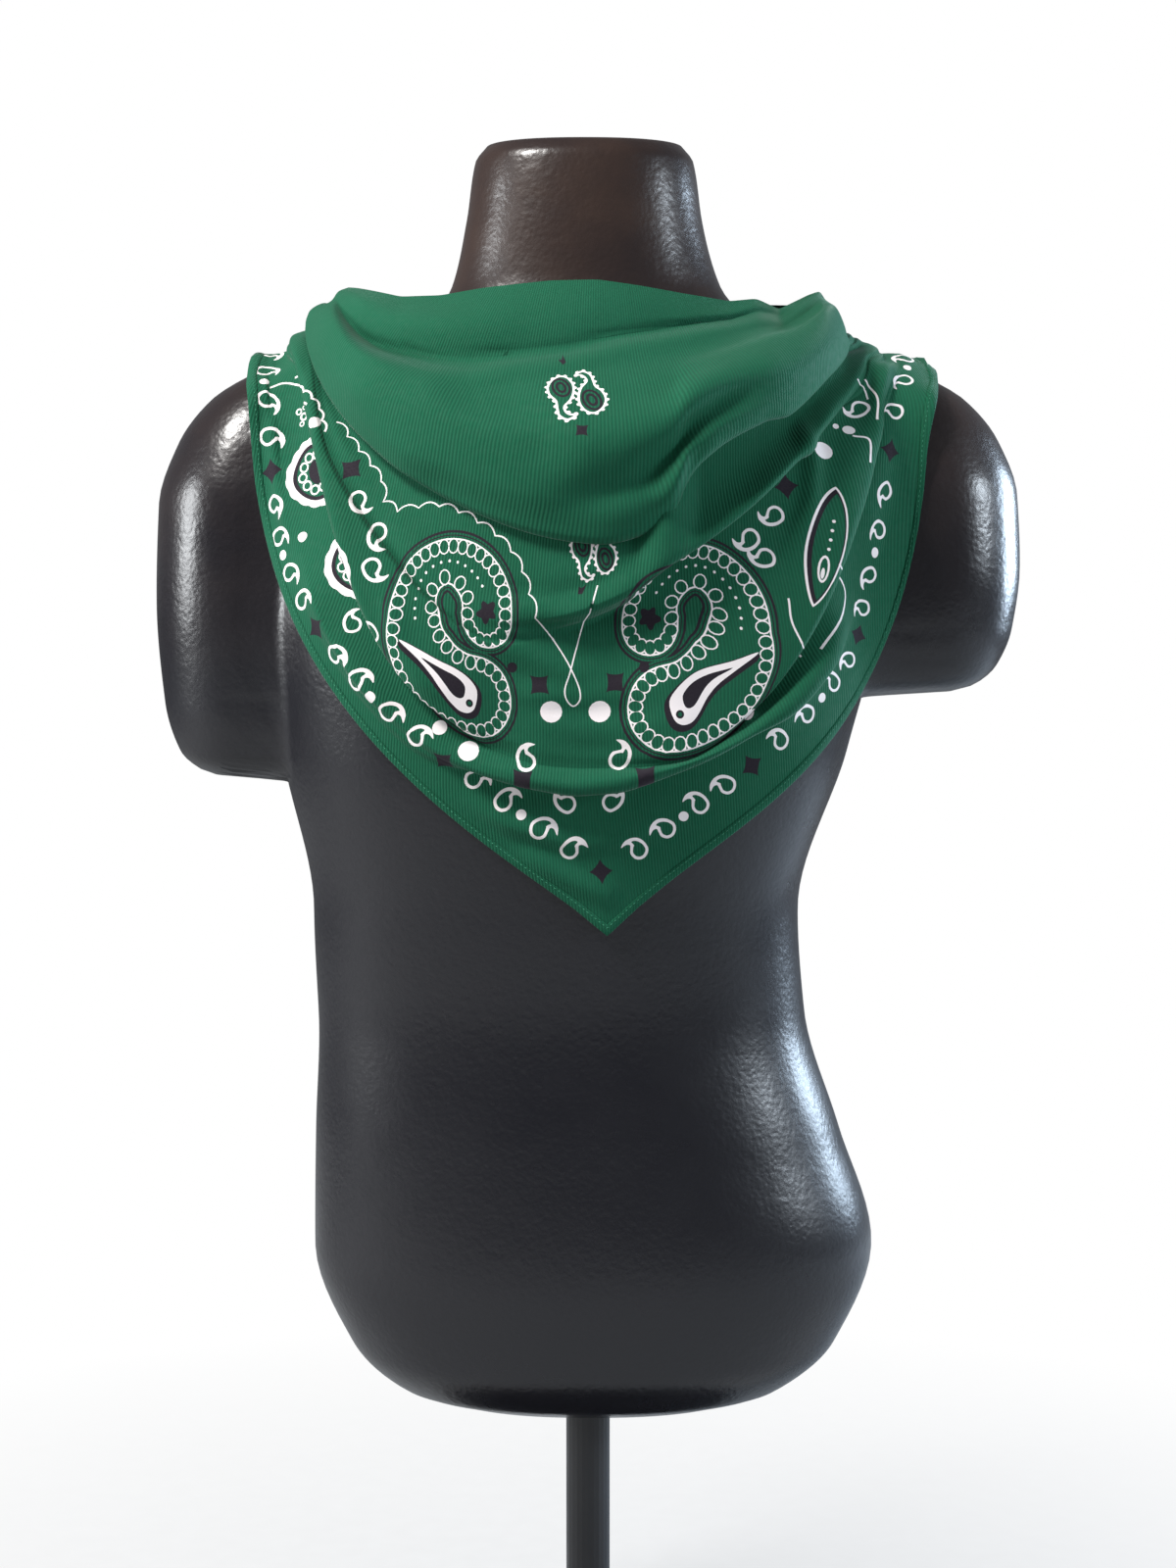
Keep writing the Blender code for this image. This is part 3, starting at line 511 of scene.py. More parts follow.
def base_grid(columns_of_lines):
    """The smooth surface through the fold lines: for each column, points along it, and how far
    down the column each fold line is."""
    grids, marks = [], []
    for knots in columns_of_lines:
        chord = run_of(knots)
        fine = np.linspace(0.0, chord[-1], FINE_SAMPLES)
        curve = np.stack([smooth_curve(fine, chord, knots[:, i]) for i in range(3)], axis=1)
        marks.append(np.interp(chord, fine, run_of(curve)))
        grids.append(evenly(curve, GRID_SAMPLES))
    return np.array(grids), np.array(marks)


def outward(grid):
    """The surface's normals, pointing away from the form."""
    normal = unit(np.cross(np.gradient(grid, axis=0), np.gradient(grid, axis=1)))
    middle = grid.shape[0] // 2
    return -normal if normal[middle, grid.shape[1] // 2, 1] > 0 else normal


def pleat_size(values, s):
    return smooth_curve(np.clip(s, -1.0, 1.0), PLEAT_PLACES, values)


def column_pleats(s, fade, marks):
    """The pleats of one column, each as the number of its fold line, how far down it is, its
    height, lap and turn, and how far above it the cloth begins to rise to it. s is -1 to 1 from
    shoulder to shoulder, and fade thins the pleats towards the knot."""
    names = [row[0] for row in FOLD_LINES]
    pleats = []
    above = 0.0
    for name, laps, heights, reach in PLEATS:
        line = names.index(name)
        edge, below = marks[line], marks[line + 1]
        rising = max(min(reach, edge - above), 1.0)
        height = pleat_size(heights, s) * ease(fade)
        room = min(LAP_LIMIT * rising, LAP_PER_HEIGHT * max(height - LEAST_LAPPED, 0.0))
        lap = min(pleat_size(laps, s) * ease(LAP_FADES * fade), room)
        turn = min(PLEAT_TURN, TURN_OF_LAP * lap, TURN_OF_BELOW * (below - edge))
        pleats.append((line, edge, height, lap, turn, rising))
        above += (edge - above) * ease(height / FULL_PLEAT)
    return pleats


def column_rows(s, fade, marks, pleats):
    """For each row of a column: how far down it lies while it is flat, how far its pleat moves
    it, and how far it stands off."""
    places, moves, stands = [0.0], [0.0], [0.0]
    for i, (name, *_) in enumerate(FOLD_LINES[:-1]):
        begin, end, moved = marks[i], marks[i + 1], 0.0
        for line, edge, height, lap, turn, _ in pleats:
            if line == i:
                for rows in (places, moves, stands):
                    rows.pop()
                lapped = ease(lap / FULL_PLEAT)
                for flat_at, of_turn, of_lap, share in PLEAT_ROWS:
                    places.append(edge + flat_at * min(end - edge, PLEAT_SPREAD))
                    moves.append(lapped * (edge + of_turn * turn + of_lap * lap - places[-1]))
                    stands.append(height * share)
                begin, moved = places[-1], moves[-1]
        for k in range(1, PLAIN_STEPS[name] + 1):
            share = k / PLAIN_STEPS[name]
            places.append(begin + (end - begin) * share)
            moves.append(moved * (1 - share))
            stands.append(0.0)
        if FOLD_LINES[i + 1][0] == "crease":
            stands[-1] -= pleat_size(CREASE_DENT, s) * ease(fade)
    gathered = 1 - ease(fade)
    places = np.array(places)
    places += gathered * (np.linspace(0.0, marks[-1], len(places)) - places)
    ripple = GATHER_HEIGHT * gathered * np.sin(2 * math.pi * GATHERS * places / marks[-1])
    return places, np.array(moves) * (1 - gathered), np.array(stands) + ripple


def row_lines():
    """The fold line that each row belongs to or follows."""
    pleated = [row[0] for row in PLEATS]
    lines = [0]
    for i, (name, *_) in enumerate(FOLD_LINES[:-1]):
        if name in pleated:
            lines[-1:] = [i] * len(PLEAT_ROWS)
        lines += [i] * PLAIN_STEPS[name]
    return np.array(lines)


def cloth_columns(lines, spans, fades):
    """The pleated surface: its points, one row of points for each column."""
    grid, marks = base_grid(np.swapaxes(np.array(lines), 0, 1))
    grid = rest_on_form(grid, CLOTH_CLEARANCE)
    normal = outward(grid)
    pleats = [column_pleats(*sizes) for sizes in zip(spans, fades, marks)]
    rows = np.array([column_rows(*sizes) for sizes in zip(spans, fades, marks, pleats)])
    for _ in range(BLENDS):
        rows[1:-1, 1:] = (rows[:-2, 1:] + 2 * rows[1:-1, 1:] + rows[2:, 1:]) / 4
    after = row_lines()
    surface = []
    for j, (places, moves, heights) in enumerate(rows):
        places = places + moves
        rises = [
            np.where(after < line, height * ease((places - edge + rising) / rising), 0.0)
            for line, edge, height, _, _, rising in pleats[j]
        ]
        heights = heights + np.max(rises, axis=0)
        along = run_of(grid[j])
        places = places * along[-1] / marks[j][-1]
        way = unit(read_off(places, along, normal[j]))
        surface.append(read_off(places, along, grid[j]) + way * heights[:, None])
    return np.array(surface)


def whole_cloth():
    """The columns from the knot over the left shoulder, the front and the right shoulder."""
    front = FRONT_STEPS
    lines = []
    for i, row in enumerate(FOLD_LINES):
        size = dict(zip(LINE_COLUMNS, row))
        left, right = (
            back_line(size, hand, i / (len(FOLD_LINES) - 1), BACK_STEPS + 1) for hand in ("left", "right"))
        lines.append(np.concatenate([left[:0:-1], front_line(size, front + 1), right[1:]]))
    spans = np.concatenate([
        np.full(BACK_STEPS, -1.0), np.linspace(-1.0, 1.0, 2 * front + 1), np.full(BACK_STEPS, 1.0),
    ])
    to_knot = np.linspace(1.0, 0.0, BACK_STEPS + 1)
    fades = np.concatenate([to_knot[::-1][:-1], np.ones(2 * front + 1), to_knot[1:]])
    return cloth_columns(lines, spans, fades)


# The same surface with finer steps: FINER of them for each of the folds' own, so that the cloth
# curves softly from fold to fold.
FINER = 4
UPPER_STEPS = 6  # of the folds' own, from the top fold to the cowl's lip, which take more rows
FINER_ABOVE = 7
FINER_HERE = {11: 7, 12: 7, 18: 14, 30: 6, 31: 6, 32: 6}  # where plain cloth shows between the pleats
row_steps = [
    FINER_ABOVE if i < UPPER_STEPS else FINER_HERE.get(i, FINER) for i in range(len(row_lines()) - 1)]
row_places = np.concatenate([
    np.arange(steps) / steps + i for i, steps in enumerate(row_steps)] + [[len(row_steps)]])


def finer_down(surface):
    """Finer rows: each column as a curve that never overshoots its folds."""
    columns = []
    for line in surface:
        step = np.maximum(np.linalg.norm(np.diff(line, axis=0), axis=1), 0.05)
        chord = np.concatenate([[0.0], np.cumsum(step)])
        at = np.interp(row_places, np.arange(len(line)), chord)
        columns.append(np.stack([smooth_curve(at, chord, line[:, i]) for i in range(3)], axis=1))
    return np.array(columns)


def spline_weights(t):
    """How much the four points round a place count, as columns: a smooth curve through them."""
    return np.stack([
        -t**3 / 2 + t**2 - t / 2, 1.5 * t**3 - 2.5 * t**2 + 1,
        -1.5 * t**3 + 2 * t**2 + t / 2, t**3 / 2 - t**2 / 2,
    ], axis=-1)


def spline_through(rows, at):
    """The values at the given places on a smooth curve through the rows."""
    i = np.minimum(at.astype(int), len(rows) - 2)
    padded = np.concatenate([2 * rows[:1] - rows[1:2], rows, 2 * rows[-1:] - rows[-2:-1]])
    weights = spline_weights(at - i).reshape(len(at), 4, *[1] * (rows.ndim - 1))
    return sum(weights[:, k] * padded[i + k] for k in range(4))


def finer_across(surface):
    """Finer columns, on smooth curves through the given ones, but straight into the hanging corner."""
    at = np.arange(FINER * (len(surface) - 1) + 1) / FINER
    i = np.minimum(at.astype(int), len(surface) - 2)
    smooth = spline_through(surface, at)
    t = (at - i)[:, None, None]
    straight = (1 - t) * surface[i] + t * surface[i + 1]
    corner = ease(2 - np.abs(at - len(surface) // 2))[:, None, None]
    low = ease((row_places - len(row_steps) + 3) / 2.5)[None, :, None]
    return smooth + (straight - smooth) * corner * low


def grid_quads(across, down):
    number = np.arange(across * down).reshape(across, down)
    return np.stack([
        number[:-1, :-1], number[1:, :-1], number[1:, 1:], number[:-1, 1:]], axis=-1).reshape(-1, 4)


def paced(surface):
    """How far across and down each point is, measured along its row and its column."""
    across = np.zeros(surface.shape[:2])
    across[1:] = np.cumsum(np.linalg.norm(np.diff(surface, axis=0), axis=-1), axis=0)
    across -= across[len(surface) // 2]
    down = np.zeros(surface.shape[:2])
    down[:, 1:] = np.cumsum(np.linalg.norm(np.diff(surface, axis=1), axis=-1), axis=1)
    return np.stack([across, -down], axis=-1)


def unfolded(surface, rounds=60):
    """The cloth laid flat again with the least stretch: each triangle keeps its size and only
    turns, and their corners meet in between."""
    across, down = surface.shape[:2]
    quads = grid_quads(across, down)
    triangles = np.concatenate([quads[:, [0, 1, 2]], quads[:, [0, 2, 3]]])
    a, b, c = (surface.reshape(-1, 3)[triangles[:, k]] for k in range(3))
    base = np.linalg.norm(b - a, axis=1)
    aside = ((c - a) * (b - a)).sum(axis=1) / base
    high = np.sqrt(np.maximum(((c - a) ** 2).sum(axis=1) - aside**2, 1e-6))
    own = np.zeros((len(triangles), 3, 2))
    own[:, 1, 0] = base
    own[:, 2] = np.stack([aside, -high], axis=1)
    pull = np.zeros((across * down, across * down))
    spokes = []
    for k in range(3):
        i, j = (k + 1) % 3, (k + 2) % 3
        u, v = own[:, i] - own[:, k], own[:, j] - own[:, k]
        weight = (u * v).sum(axis=1) / np.abs(u[:, 0] * v[:, 1] - u[:, 1] * v[:, 0]) / 2
        weight = np.clip(weight, 0.02, 6.0)
        one, two = triangles[:, i], triangles[:, j]
        for row, other, sign in ((one, one, 1), (two, two, 1), (one, two, -1), (two, one, -1)):
            np.add.at(pull, (row, other), sign * weight)
        spokes.append((i, j, one, two, weight))
    pull[0, 0] += 1.0
    solve = np.linalg.inv(pull)
    flat = paced(surface).reshape(-1, 2)
    for _ in range(rounds):
        spread = np.zeros((len(triangles), 2, 2))
        for i, j, one, two, weight in spokes:
            spread += weight[:, None, None] * (
                (flat[one] - flat[two])[:, :, None] * (own[:, i] - own[:, j])[:, None, :])
        turn = np.arctan2(spread[:, 1, 0] - spread[:, 0, 1], spread[:, 0, 0] + spread[:, 1, 1])
        cos, sin = np.cos(turn), np.sin(turn)
        wanted = np.zeros_like(flat)
        for i, j, one, two, weight in spokes:
            x, y = (own[:, i] - own[:, j]).T
            step = weight[:, None] * np.stack([cos * x - sin * y, sin * x + cos * y], axis=1)
            np.add.at(wanted, one, step)
            np.add.at(wanted, two, -step)
        flat = solve @ wanted
    flat = flat.reshape(across, down, 2)
    middle = flat[across // 2]
    x, y = (middle[-1] - middle[0]) / np.linalg.norm(middle[-1] - middle[0])
    return (flat - middle[0]) @ np.array([[-y, -x], [x, -y]])


coarse_cloth = whole_cloth()
cloth = finer_across(finer_down(coarse_cloth))
ACROSS, DOWN = cloth.shape[:2]
FIRST_FRONT, LAST_FRONT = FINER * BACK_STEPS, FINER * (BACK_STEPS + 2 * FRONT_STEPS)


def ways_out(surface):
    """The way out of the cloth at each point, from the faces around it."""
    a, b, c, d = surface[:-1, :-1], surface[1:, :-1], surface[1:, 1:], surface[:-1, 1:]
    face = np.cross(d - b, c - a)
    total = np.zeros_like(surface)
    for part in (np.s_[:-1, :-1], np.s_[1:, :-1], np.s_[1:, 1:], np.s_[:-1, 1:]):
        total[part] += face
    return unit(total)


coarse_flat = unfolded(coarse_cloth)
coarse_flat = np.concatenate([coarse_flat, np.zeros((*coarse_flat.shape[:2], 1))], axis=-1)
flat_cloth = finer_across(finer_down(coarse_flat))[..., :2]

# The lowest pleat dies away before the right shoulder: there the cloth runs straight on between
# these rows, in quarters of the folds' own steps.
DIES_FROM, DIES_OVER = 0.38, 0.16  # of the way from the corner to the shoulder
WHOLE_AGAIN, AGAIN_OVER = 1.35, 0.2  # and where it has come back, behind the shoulder
DYING_ROWS = (94.0, 127.0)
first_row, last_row = (int(np.argmin(np.abs(FINER * row_places - row))) for row in DYING_ROWS)
stretch = cloth[:, first_row:last_row + 1]
laid_down = np.linalg.norm(np.diff(flat_cloth[:, first_row:last_row + 1], axis=1), axis=-1)
laid_down = np.concatenate([np.zeros((ACROSS, 1)), np.cumsum(laid_down, axis=1)], axis=1)
laid_down /= laid_down[:, -1:]
straight = stretch[:, :1] + (stretch[:, -1:] - stretch[:, :1]) * laid_down[..., None]
towards = (np.arange(ACROSS) - ACROSS // 2) / (FINER * FRONT_STEPS)
dies = ease((towards - DIES_FROM) / DIES_OVER) * ease((WHOLE_AGAIN - towards) / AGAIN_OVER)
stretch += (straight - stretch) * dies[:, None, None]
cloth_out = ways_out(cloth)

# How the cloth is drawn in and let out once it is folded: how far back each place moves, by its x,
# and how much of that each row takes, by its number in quarters of the folds' own steps.
DRAWN_BACK = (
    ("belly", ((-150, 0.0), (-125, 2.0), (-90, 8.0), (-60, 11.0), (36, 12.0), (50, 6.0), (64, 1.0),
               (132, 0.0)),
     ((10, 0.0), (16, 0.12), (20, 0.5), (24, 1.0), (30, 0.95), (44, 0.5), (52, 0.0))),
    ("dimple", ((26, 0.0), (40, -8.0), (48, -5.0), (56, 0.0)),
     ((32, 0.0), (42, 0.7), (47, 1.0), (51, 0.5), (56, 0.0))),
    ("pocket", ((44, 0.0), (60, 8.0), (90, 11.0), (112, 8.0), (134, 0.0)),
     ((32, 0.0), (38, 0.8), (44, 1.0), (48, 0.8), (52, 0.0))),
    ("swag", ((-60, 0.0), (-20, -3.0), (30, -7.0), (90, -7.0), (118, -3.0), (134, 0.0)),
     ((46, 0.0), (52, 1.0), (60, 0.9), (66, 0.0))),
    ("low_pleat", ((-90, 0.0), (-50, -3.5), (0, -5.5), (60, -6.0), (105, -3.0), (130, 0.0)),
     ((92, 0.0), (99, 0.9), (106, 0.8), (112, 0.0))),
    ("side_pleat", ((-152, 0.0), (-130, -6.0), (-80, -6.5), (-40, -2.0), (0, -1.0), (40, -2.0), (90, -6.0),
                    (135, -5.0), (152, 0.0)),
     ((68, 0.0), (75, 0.9), (82, 0.8), (88, 0.0))),
)
# The cowl's lip stands higher on the right, where the swag's loose band comes out from under it.
LIP_RAISED = (
    ((36, 0.0), (44, 4.0), (50, 15.0), (56, 20.0), (68, 22.0), (90, 17.0), (106, 8.0), (124, 6.0),
     (140, 0.0)),
    ((10, 0.0), (18, 0.6), (24, 1.0), (44, 1.0), (50, 0.1), (53, 0.0)),
)


def spread_over(by_x, by_row):
    """The amount at each point of the cloth, from its x and its row in quarter steps."""
    x_at, amount = np.array(by_x).T
    row_at, share = np.array(by_row).T
    return (smooth_curve(cloth[..., 0], x_at, amount)
            * smooth_curve(FINER * row_places, row_at, share)[None, :])


# What handling left in the cloth: how deep each crease is pressed, where a ridge is below zero,
# how wide it is, the first and last row it reaches, in quarters of the folds' own steps, and the
# line it follows, as x and z.
CREASES = (
    (4.0, 13.0, 8, 24, ((-84, 757), (-60, 748), (-30, 733), (-4, 712))),
    (-3.4, 11.0, 8, 24, ((-128, 772), (-110, 742), (-92, 718), (-74, 702))),
    (-3.0, 12.0, 8, 26, ((-40, 742), (0, 728), (40, 735), (84, 757))),
    (6.5, 10.0, 10, 24, ((-30, 692), (0, 697), (24, 704), (48, 719), (76, 738), (104, 757))),
    (-3.0, 6.0, 16, 34, ((34, 690), (41, 698), (46, 708), (52, 716))),
    (2.4, 5.0, 44, 80, ((-58, 655), (-40, 648), (-18, 646), (4, 652), (30, 668))),
    (2.6, 5.0, 44, 84, ((-46, 636), (-24, 631), (-6, 631), (12, 637), (28, 650))),
    (-2.6, 6.0, 44, 84, ((-66, 646), (-36, 640), (-8, 639), (16, 646), (44, 664))),
    (-2.8, 5.0, 60, 98, ((-60, 628), (-40, 619), (-12, 607), (14, 603))),
    (-2.6, 4.5, 60, 98, ((-52, 602), (-30, 596), (-2, 595), (34, 599), (54, 606))),
    (-2.0, 4.0, 60, 98, ((-34, 584), (-4, 577), (24, 578), (50, 584), (66, 592))),
    (-2.8, 5.0, 60, 100, ((-106, 655), (-98, 625), (-84, 602), (-66, 590))),
    (-3.3, 4.0, 60, 120, ((-60, 567), (-36, 554), (-8, 548), (18, 550), (48, 558))),
    (-3.9, 5.0, 100, 130, ((-70, 545), (-40, 527), (-8, 518), (24, 523), (46, 534))),
    (-3.3, 5.0, 104, 132, ((-40, 516), (-14, 500), (8, 490), (22, 494))),
    (-3.9, 6.0, 96, 132, ((84, 568), (108, 590), (126, 616), (138, 650))),
    (-3.9, 6.0, 96, 132, ((-152, 668), (-138, 634), (-118, 604), (-96, 580))),
    (-3.6, 5.0, 52, 132, ((-172, 752), (-168, 722), (-163, 694), (-155, 668))),
    (-3.6, 5.0, 44, 100, ((110, 742), (118, 716), (116, 690), (104, 664))),
    (-3.3, 5.0, 52, 132, ((160, 752), (158, 722), (150, 690), (146, 660))),
)
# The crease under the rim: x, z, and how far the cloth falls back above it.
RIM_CREASE = (
    (-144, 806, 0.0), (-138, 802, 3.0), (-130, 792, 8.0), (-122, 783, 11.0), (-110, 776, 13.0),
    (-93, 771, 13.0), (-78, 768, 12.0), (-61, 767, 11.0), (-37, 770, 9.0), (-12, 773, 8.0),
    (16, 780, 8.0), (42, 785, 9.0), (68, 792, 9.0), (89, 798, 7.0), (107, 802, 4.0), (124, 806, 0.0),
)
RIM_FALL, RIM_TURN = 17.0, 3.6  # how far up the fall is felt, and how sharply it ends below
RIM_CREASE_LIPS = ((0.42, 1.6, 2.2), (-0.2, -8.0, 5.0))  # share of the fall, height and width
RIM_CREASE_ENDS = 18  # the row below which it isn't felt
RIM_WAVES = (  # x, and how much higher the rim stands there
    (-150, 0.0), (-137, 3.5), (-126, 1.0), (-100, -5.5), (-78, -5.5), (-55, -2.0), (-20, 1.5),
    (5, 2.0), (25, -0.5), (50, -4.0), (75, -6.5), (90, -4.0), (103, -8.5), (116, -1.0), (127, 6.0),
    (134, 4.0), (142, 0.0),
)
RIM_DEPTH = 30.0  # how far below the rim its waves have died out
CREASE_TAPER = 0.3  # the share of a crease over which each end runs out
CREASE_ROWS = 3.0  # the rows over which it runs out beyond its first and last
SHOULDER_COLUMNS = 6.0  # the columns over which all this fades towards the shoulders
HELD_OFF = 0.9  # the gap that stays between the form and the cloth


def distance_to(line, x, z):
    """How far each point is from a line in front view, and how far along it, from 0 to 1."""
    line = np.asarray(line, float)
    length = run_of(line)
    nearest, share = np.full(x.shape, 1e9), np.zeros(x.shape)
    for (x0, z0), (x1, z1), begin, end in zip(line, line[1:], length, length[1:]):
        dx, dz = x1 - x0, z1 - z0
        t = np.clip(((x - x0) * dx + (z - z0) * dz) / (dx * dx + dz * dz), 0.0, 1.0)
        away = np.hypot(x - x0 - t * dx, z - z0 - t * dz)
        share = np.where(away < nearest, (begin + t * (end - begin)) / length[-1], share)
        nearest = np.minimum(away, nearest)
    return nearest, share


from_shoulder = np.minimum(np.arange(ACROSS) - FIRST_FRONT, LAST_FRONT - np.arange(ACROSS))
in_front = ease(from_shoulder / SHOULDER_COLUMNS)
pressed = np.zeros((ACROSS, DOWN))
row_number = FINER * row_places[None, :]
for depth, width, first_row, last_row, line in CREASES:
    away, share = distance_to(line, cloth[..., 0], cloth[..., 2])
    taper = ease(share / CREASE_TAPER) * ease((1 - share) / CREASE_TAPER)
    beyond = np.maximum(first_row - row_number, row_number - last_row)
    kept = ease(1 - beyond / CREASE_ROWS)
    pressed -= depth * np.exp(-(away / width) ** 2) * taper * kept
wave_x, wave_z = np.array(RIM_WAVES).T
below_rim = cloth[:, :1, 2] - cloth[..., 2]
wave = np.interp(cloth[..., 0], wave_x, wave_z)
wave[1:-1] = (wave[:-2] + 2 * wave[1:-1] + wave[2:]) / 4
shift = wave * ease(1 - below_rim / RIM_DEPTH) + spread_over(*LIP_RAISED)
back = sum(spread_over(by_x, by_row) for _, by_x, by_row in DRAWN_BACK)
crease_x, crease_z, fall = np.array(RIM_CREASE).T
above = cloth[..., 2] - smooth_curve(cloth[..., 0], crease_x, crease_z)
felt = np.where(above > 0, np.exp(-(above / RIM_FALL) ** 2), np.exp(-(above / RIM_TURN) ** 2))
for share, at, width in RIM_CREASE_LIPS:
    felt = felt + share * np.exp(-((above - at) / width) ** 2)
back += smooth_curve(cloth[..., 0], crease_x, fall) * felt * (FINER * row_places < RIM_CREASE_ENDS)
cloth = cloth + cloth_out * (pressed * in_front[:, None])[..., None]
cloth += np.stack([np.zeros_like(back), back, shift], axis=-1) * in_front[:, None, None]
cloth = rest_on_form(cloth, CLOTH_THICKNESS / 2 + HELD_OFF)
cloth_out = ways_out(cloth)


# ---------------------------------------------------------------- the cloth's finish
# Fine cotton twill, dyed green all through. The square, its hem and its knot are one cloth, so all
# of them take this finish. Its weave follows a flat map of the cloth.

COTTON_GREEN = (0.005, 0.088, 0.043)
COTTON_LIGHT = (0.013, 0.126, 0.068)
VALLEY_SHADE, VALLEY_SHARE = 0.62, 0.62  # how dark the painted shade between the ribs is, and how much of it shows
RIB_SCALE, SLUB_SCALE, FADING_SCALE = 190.0, 260.0, 14.0  # repeats a metre
THREAD_RELIEF = 0.0003  # metres


def flat_place_of(tree):
    """Where a point lies once the cloth is laid flat, in metres."""
    node = tree.nodes.new("ShaderNodeUVMap")
    node.uv_map = "flat"
    return node.outputs["UV"]


def cotton(name, ground, light, rib_bump):
    """Fine cotton twill in one dye: ribs, slubs, a soft nap and painted shade between the ribs, read from
    the piece's own UV map, which is the cloth laid flat, in metres."""
    made, tree, shader = new_finish(name, ground, 0.82)
    flat = flat_place_of(tree)
    shader.inputs["Sheen Weight"].default_value = 0.13
    shader.inputs["Sheen Roughness"].default_value = 0.4
    shader.inputs["Sheen Tint"].default_value = (0.8, 0.95, 0.88, 1.0)
    shader.inputs["Specular IOR Level"].default_value = 0.17
    ribs = tree.nodes.new("ShaderNodeTexWave")
    ribs.wave_type, ribs.bands_direction = "BANDS", "X"
    ribs.inputs["Scale"].default_value = RIB_SCALE
    ribs.inputs["Distortion"].default_value = 0.6
    ribs.inputs["Detail"].default_value = 1.0
    tree.links.new(flat, ribs.inputs["Vector"])
    slub = add_noise(tree, flat, SLUB_SCALE, 3.0)
    fading = add_noise(tree, flat, FADING_SCALE, 4.0, 0.6)
    colour = add_blend(tree, add_range(tree, fading, 0.3, 0.72, 0.0, 0.42), ground, light)
    # Painted shade: the colour is darkened between the ribs, where the weave's hollows lie in shade.
    painted_rib_shade = add_range(tree, ribs.outputs["Fac"], 0.0, 1.0, 0.0, VALLEY_SHARE)
    colour = add_blend(tree, painted_rib_shade, colour, tuple(VALLEY_SHADE * value for value in ground))
    tree.links.new(colour, shader.inputs["Base Color"])
    tree.links.new(add_range(tree, slub, 0.25, 0.75, 0.74, 0.92), shader.inputs["Roughness"])
    add_bump(tree, add_math(tree, "ADD", ribs.outputs["Fac"], slub), shader, rib_bump, THREAD_RELIEF)
    return made


green_cotton = cotton("green_cotton_twill", COTTON_GREEN, COTTON_LIGHT, 0.5)


def edge_quads(across, down, outer, inner_first):
    """The faces that join two layers round their edge. outer has the outer points' numbers."""
    number = np.arange(across * down).reshape(across, down)
    rim = np.concatenate([number[:, 0], number[-1, 1:], number[-2::-1, -1], number[0, -2:0:-1]])
    after = np.roll(rim, -1)
    return np.stack([outer[rim], outer[after], after + inner_first, rim + inner_first], axis=1)


def finish_mesh(name, points, faces, flat, finish):
    """An object from points in millimetres, smooth, with its flat map and its finish."""
    mesh = bpy.data.meshes.new(name)
    mesh.from_pydata((np.asarray(points) * MM).tolist(), [], faces)
    mesh.update()
    layer = mesh.uv_layers.new(name="flat")
    corner = np.empty(len(mesh.loops), np.int64)
    mesh.loops.foreach_get("vertex_index", corner)
    layer.data.foreach_set("uv", np.asarray(flat, np.float32)[corner].ravel())
    mesh.shade_smooth()
    mesh.materials.append(finish)
    made = bpy.data.objects.new(name, mesh)
    bpy.context.scene.collection.objects.link(made)
    return made


# ---------------------------------------------------------------- the print
# Ink on the dyed ground: a row of small paisleys, dots and hollow-sided diamonds along the edge,
# and large curled paisleys in the field, with a scalloped line above them. Each is cut into the
# cloth's outer face as faces of its own ink, so its edges stay sharp.

GROUND, WHITE, BLACK = 0, 1, 2


def rounded(points, steps=4):
    """A closed smooth curve through the points."""
    points = np.asarray(points, float)
    at = np.arange(len(points) * steps) / steps
    i = at.astype(int)
    weights = spline_weights(at - i)
    return sum(weights[:, k, None] * points[(i + k - 1) % len(points)] for k in range(4))


def all_round(count):
    """That many angles at even steps, once round."""
    return np.linspace(0.0, 2 * math.pi, count, endpoint=False)


def oval(x, y, half_width, half_height, turn=0.0, count=16):
    a = all_round(count)
    return turned(np.stack([half_width * np.cos(a), half_height * np.sin(a)], axis=1), turn) + (x, y)


def turned(points, degrees):
    a = math.radians(degrees)
    return points @ np.array([[math.cos(a), math.sin(a)], [-math.sin(a), math.cos(a)]])


def loop_normals(loop):
    """The way out of a loop that runs anticlockwise, at each of its points."""
    way = unit(np.roll(loop, -1, axis=0) - np.roll(loop, 1, axis=0))
    return np.stack([way[:, 1], -way[:, 0]], axis=1)


def grown(loop, by):
    return loop + loop_normals(loop) * by


def bands(loop, *inks):
    """The loop filled band by band: each ink, and how far its edge lies outside the loop."""
    return [(ink, grown(loop, by)) for ink, by in inks]


def along_loop(loop, pitch):
    """Places and ways out at even steps of about the pitch along a loop."""
    closed, ways = (np.concatenate([rows, rows[:1]]) for rows in (loop, loop_normals(loop)))
    length = run_of(closed)
    count = max(int(round(length[-1] / pitch)), 3)
    wanted = np.arange(count) / count * length[-1]
    return read_off(wanted, length, closed), read_off(wanted, length, ways)


def left_of(ways):
    """The same flat ways, turned a quarter to the left."""
    return np.stack([-ways[..., 1], ways[..., 0]], axis=-1)


def stroke(line, width):
    """A line drawn with a round pen, as one loop."""
    side = left_of(unit(np.gradient(line, axis=0))) * width / 2
    return np.concatenate([line - side, (line + side)[::-1]])


def dot(radius):
    return [(WHITE, oval(0, 0, radius, radius * 0.94, 20))]


def dark_dot(radius):
    return [(BLACK, oval(0, 0, radius, radius * 0.92, 70))]


def hollow_diamond(radius):
    """A diamond with hollow sides."""
    a = all_round(32)
    c, s = np.cos(a), np.sin(a)
    return [(BLACK, radius * np.stack([
        np.sign(c) * np.abs(c) ** 2.7, np.sign(s) * np.abs(s) ** 2.7], axis=1))]


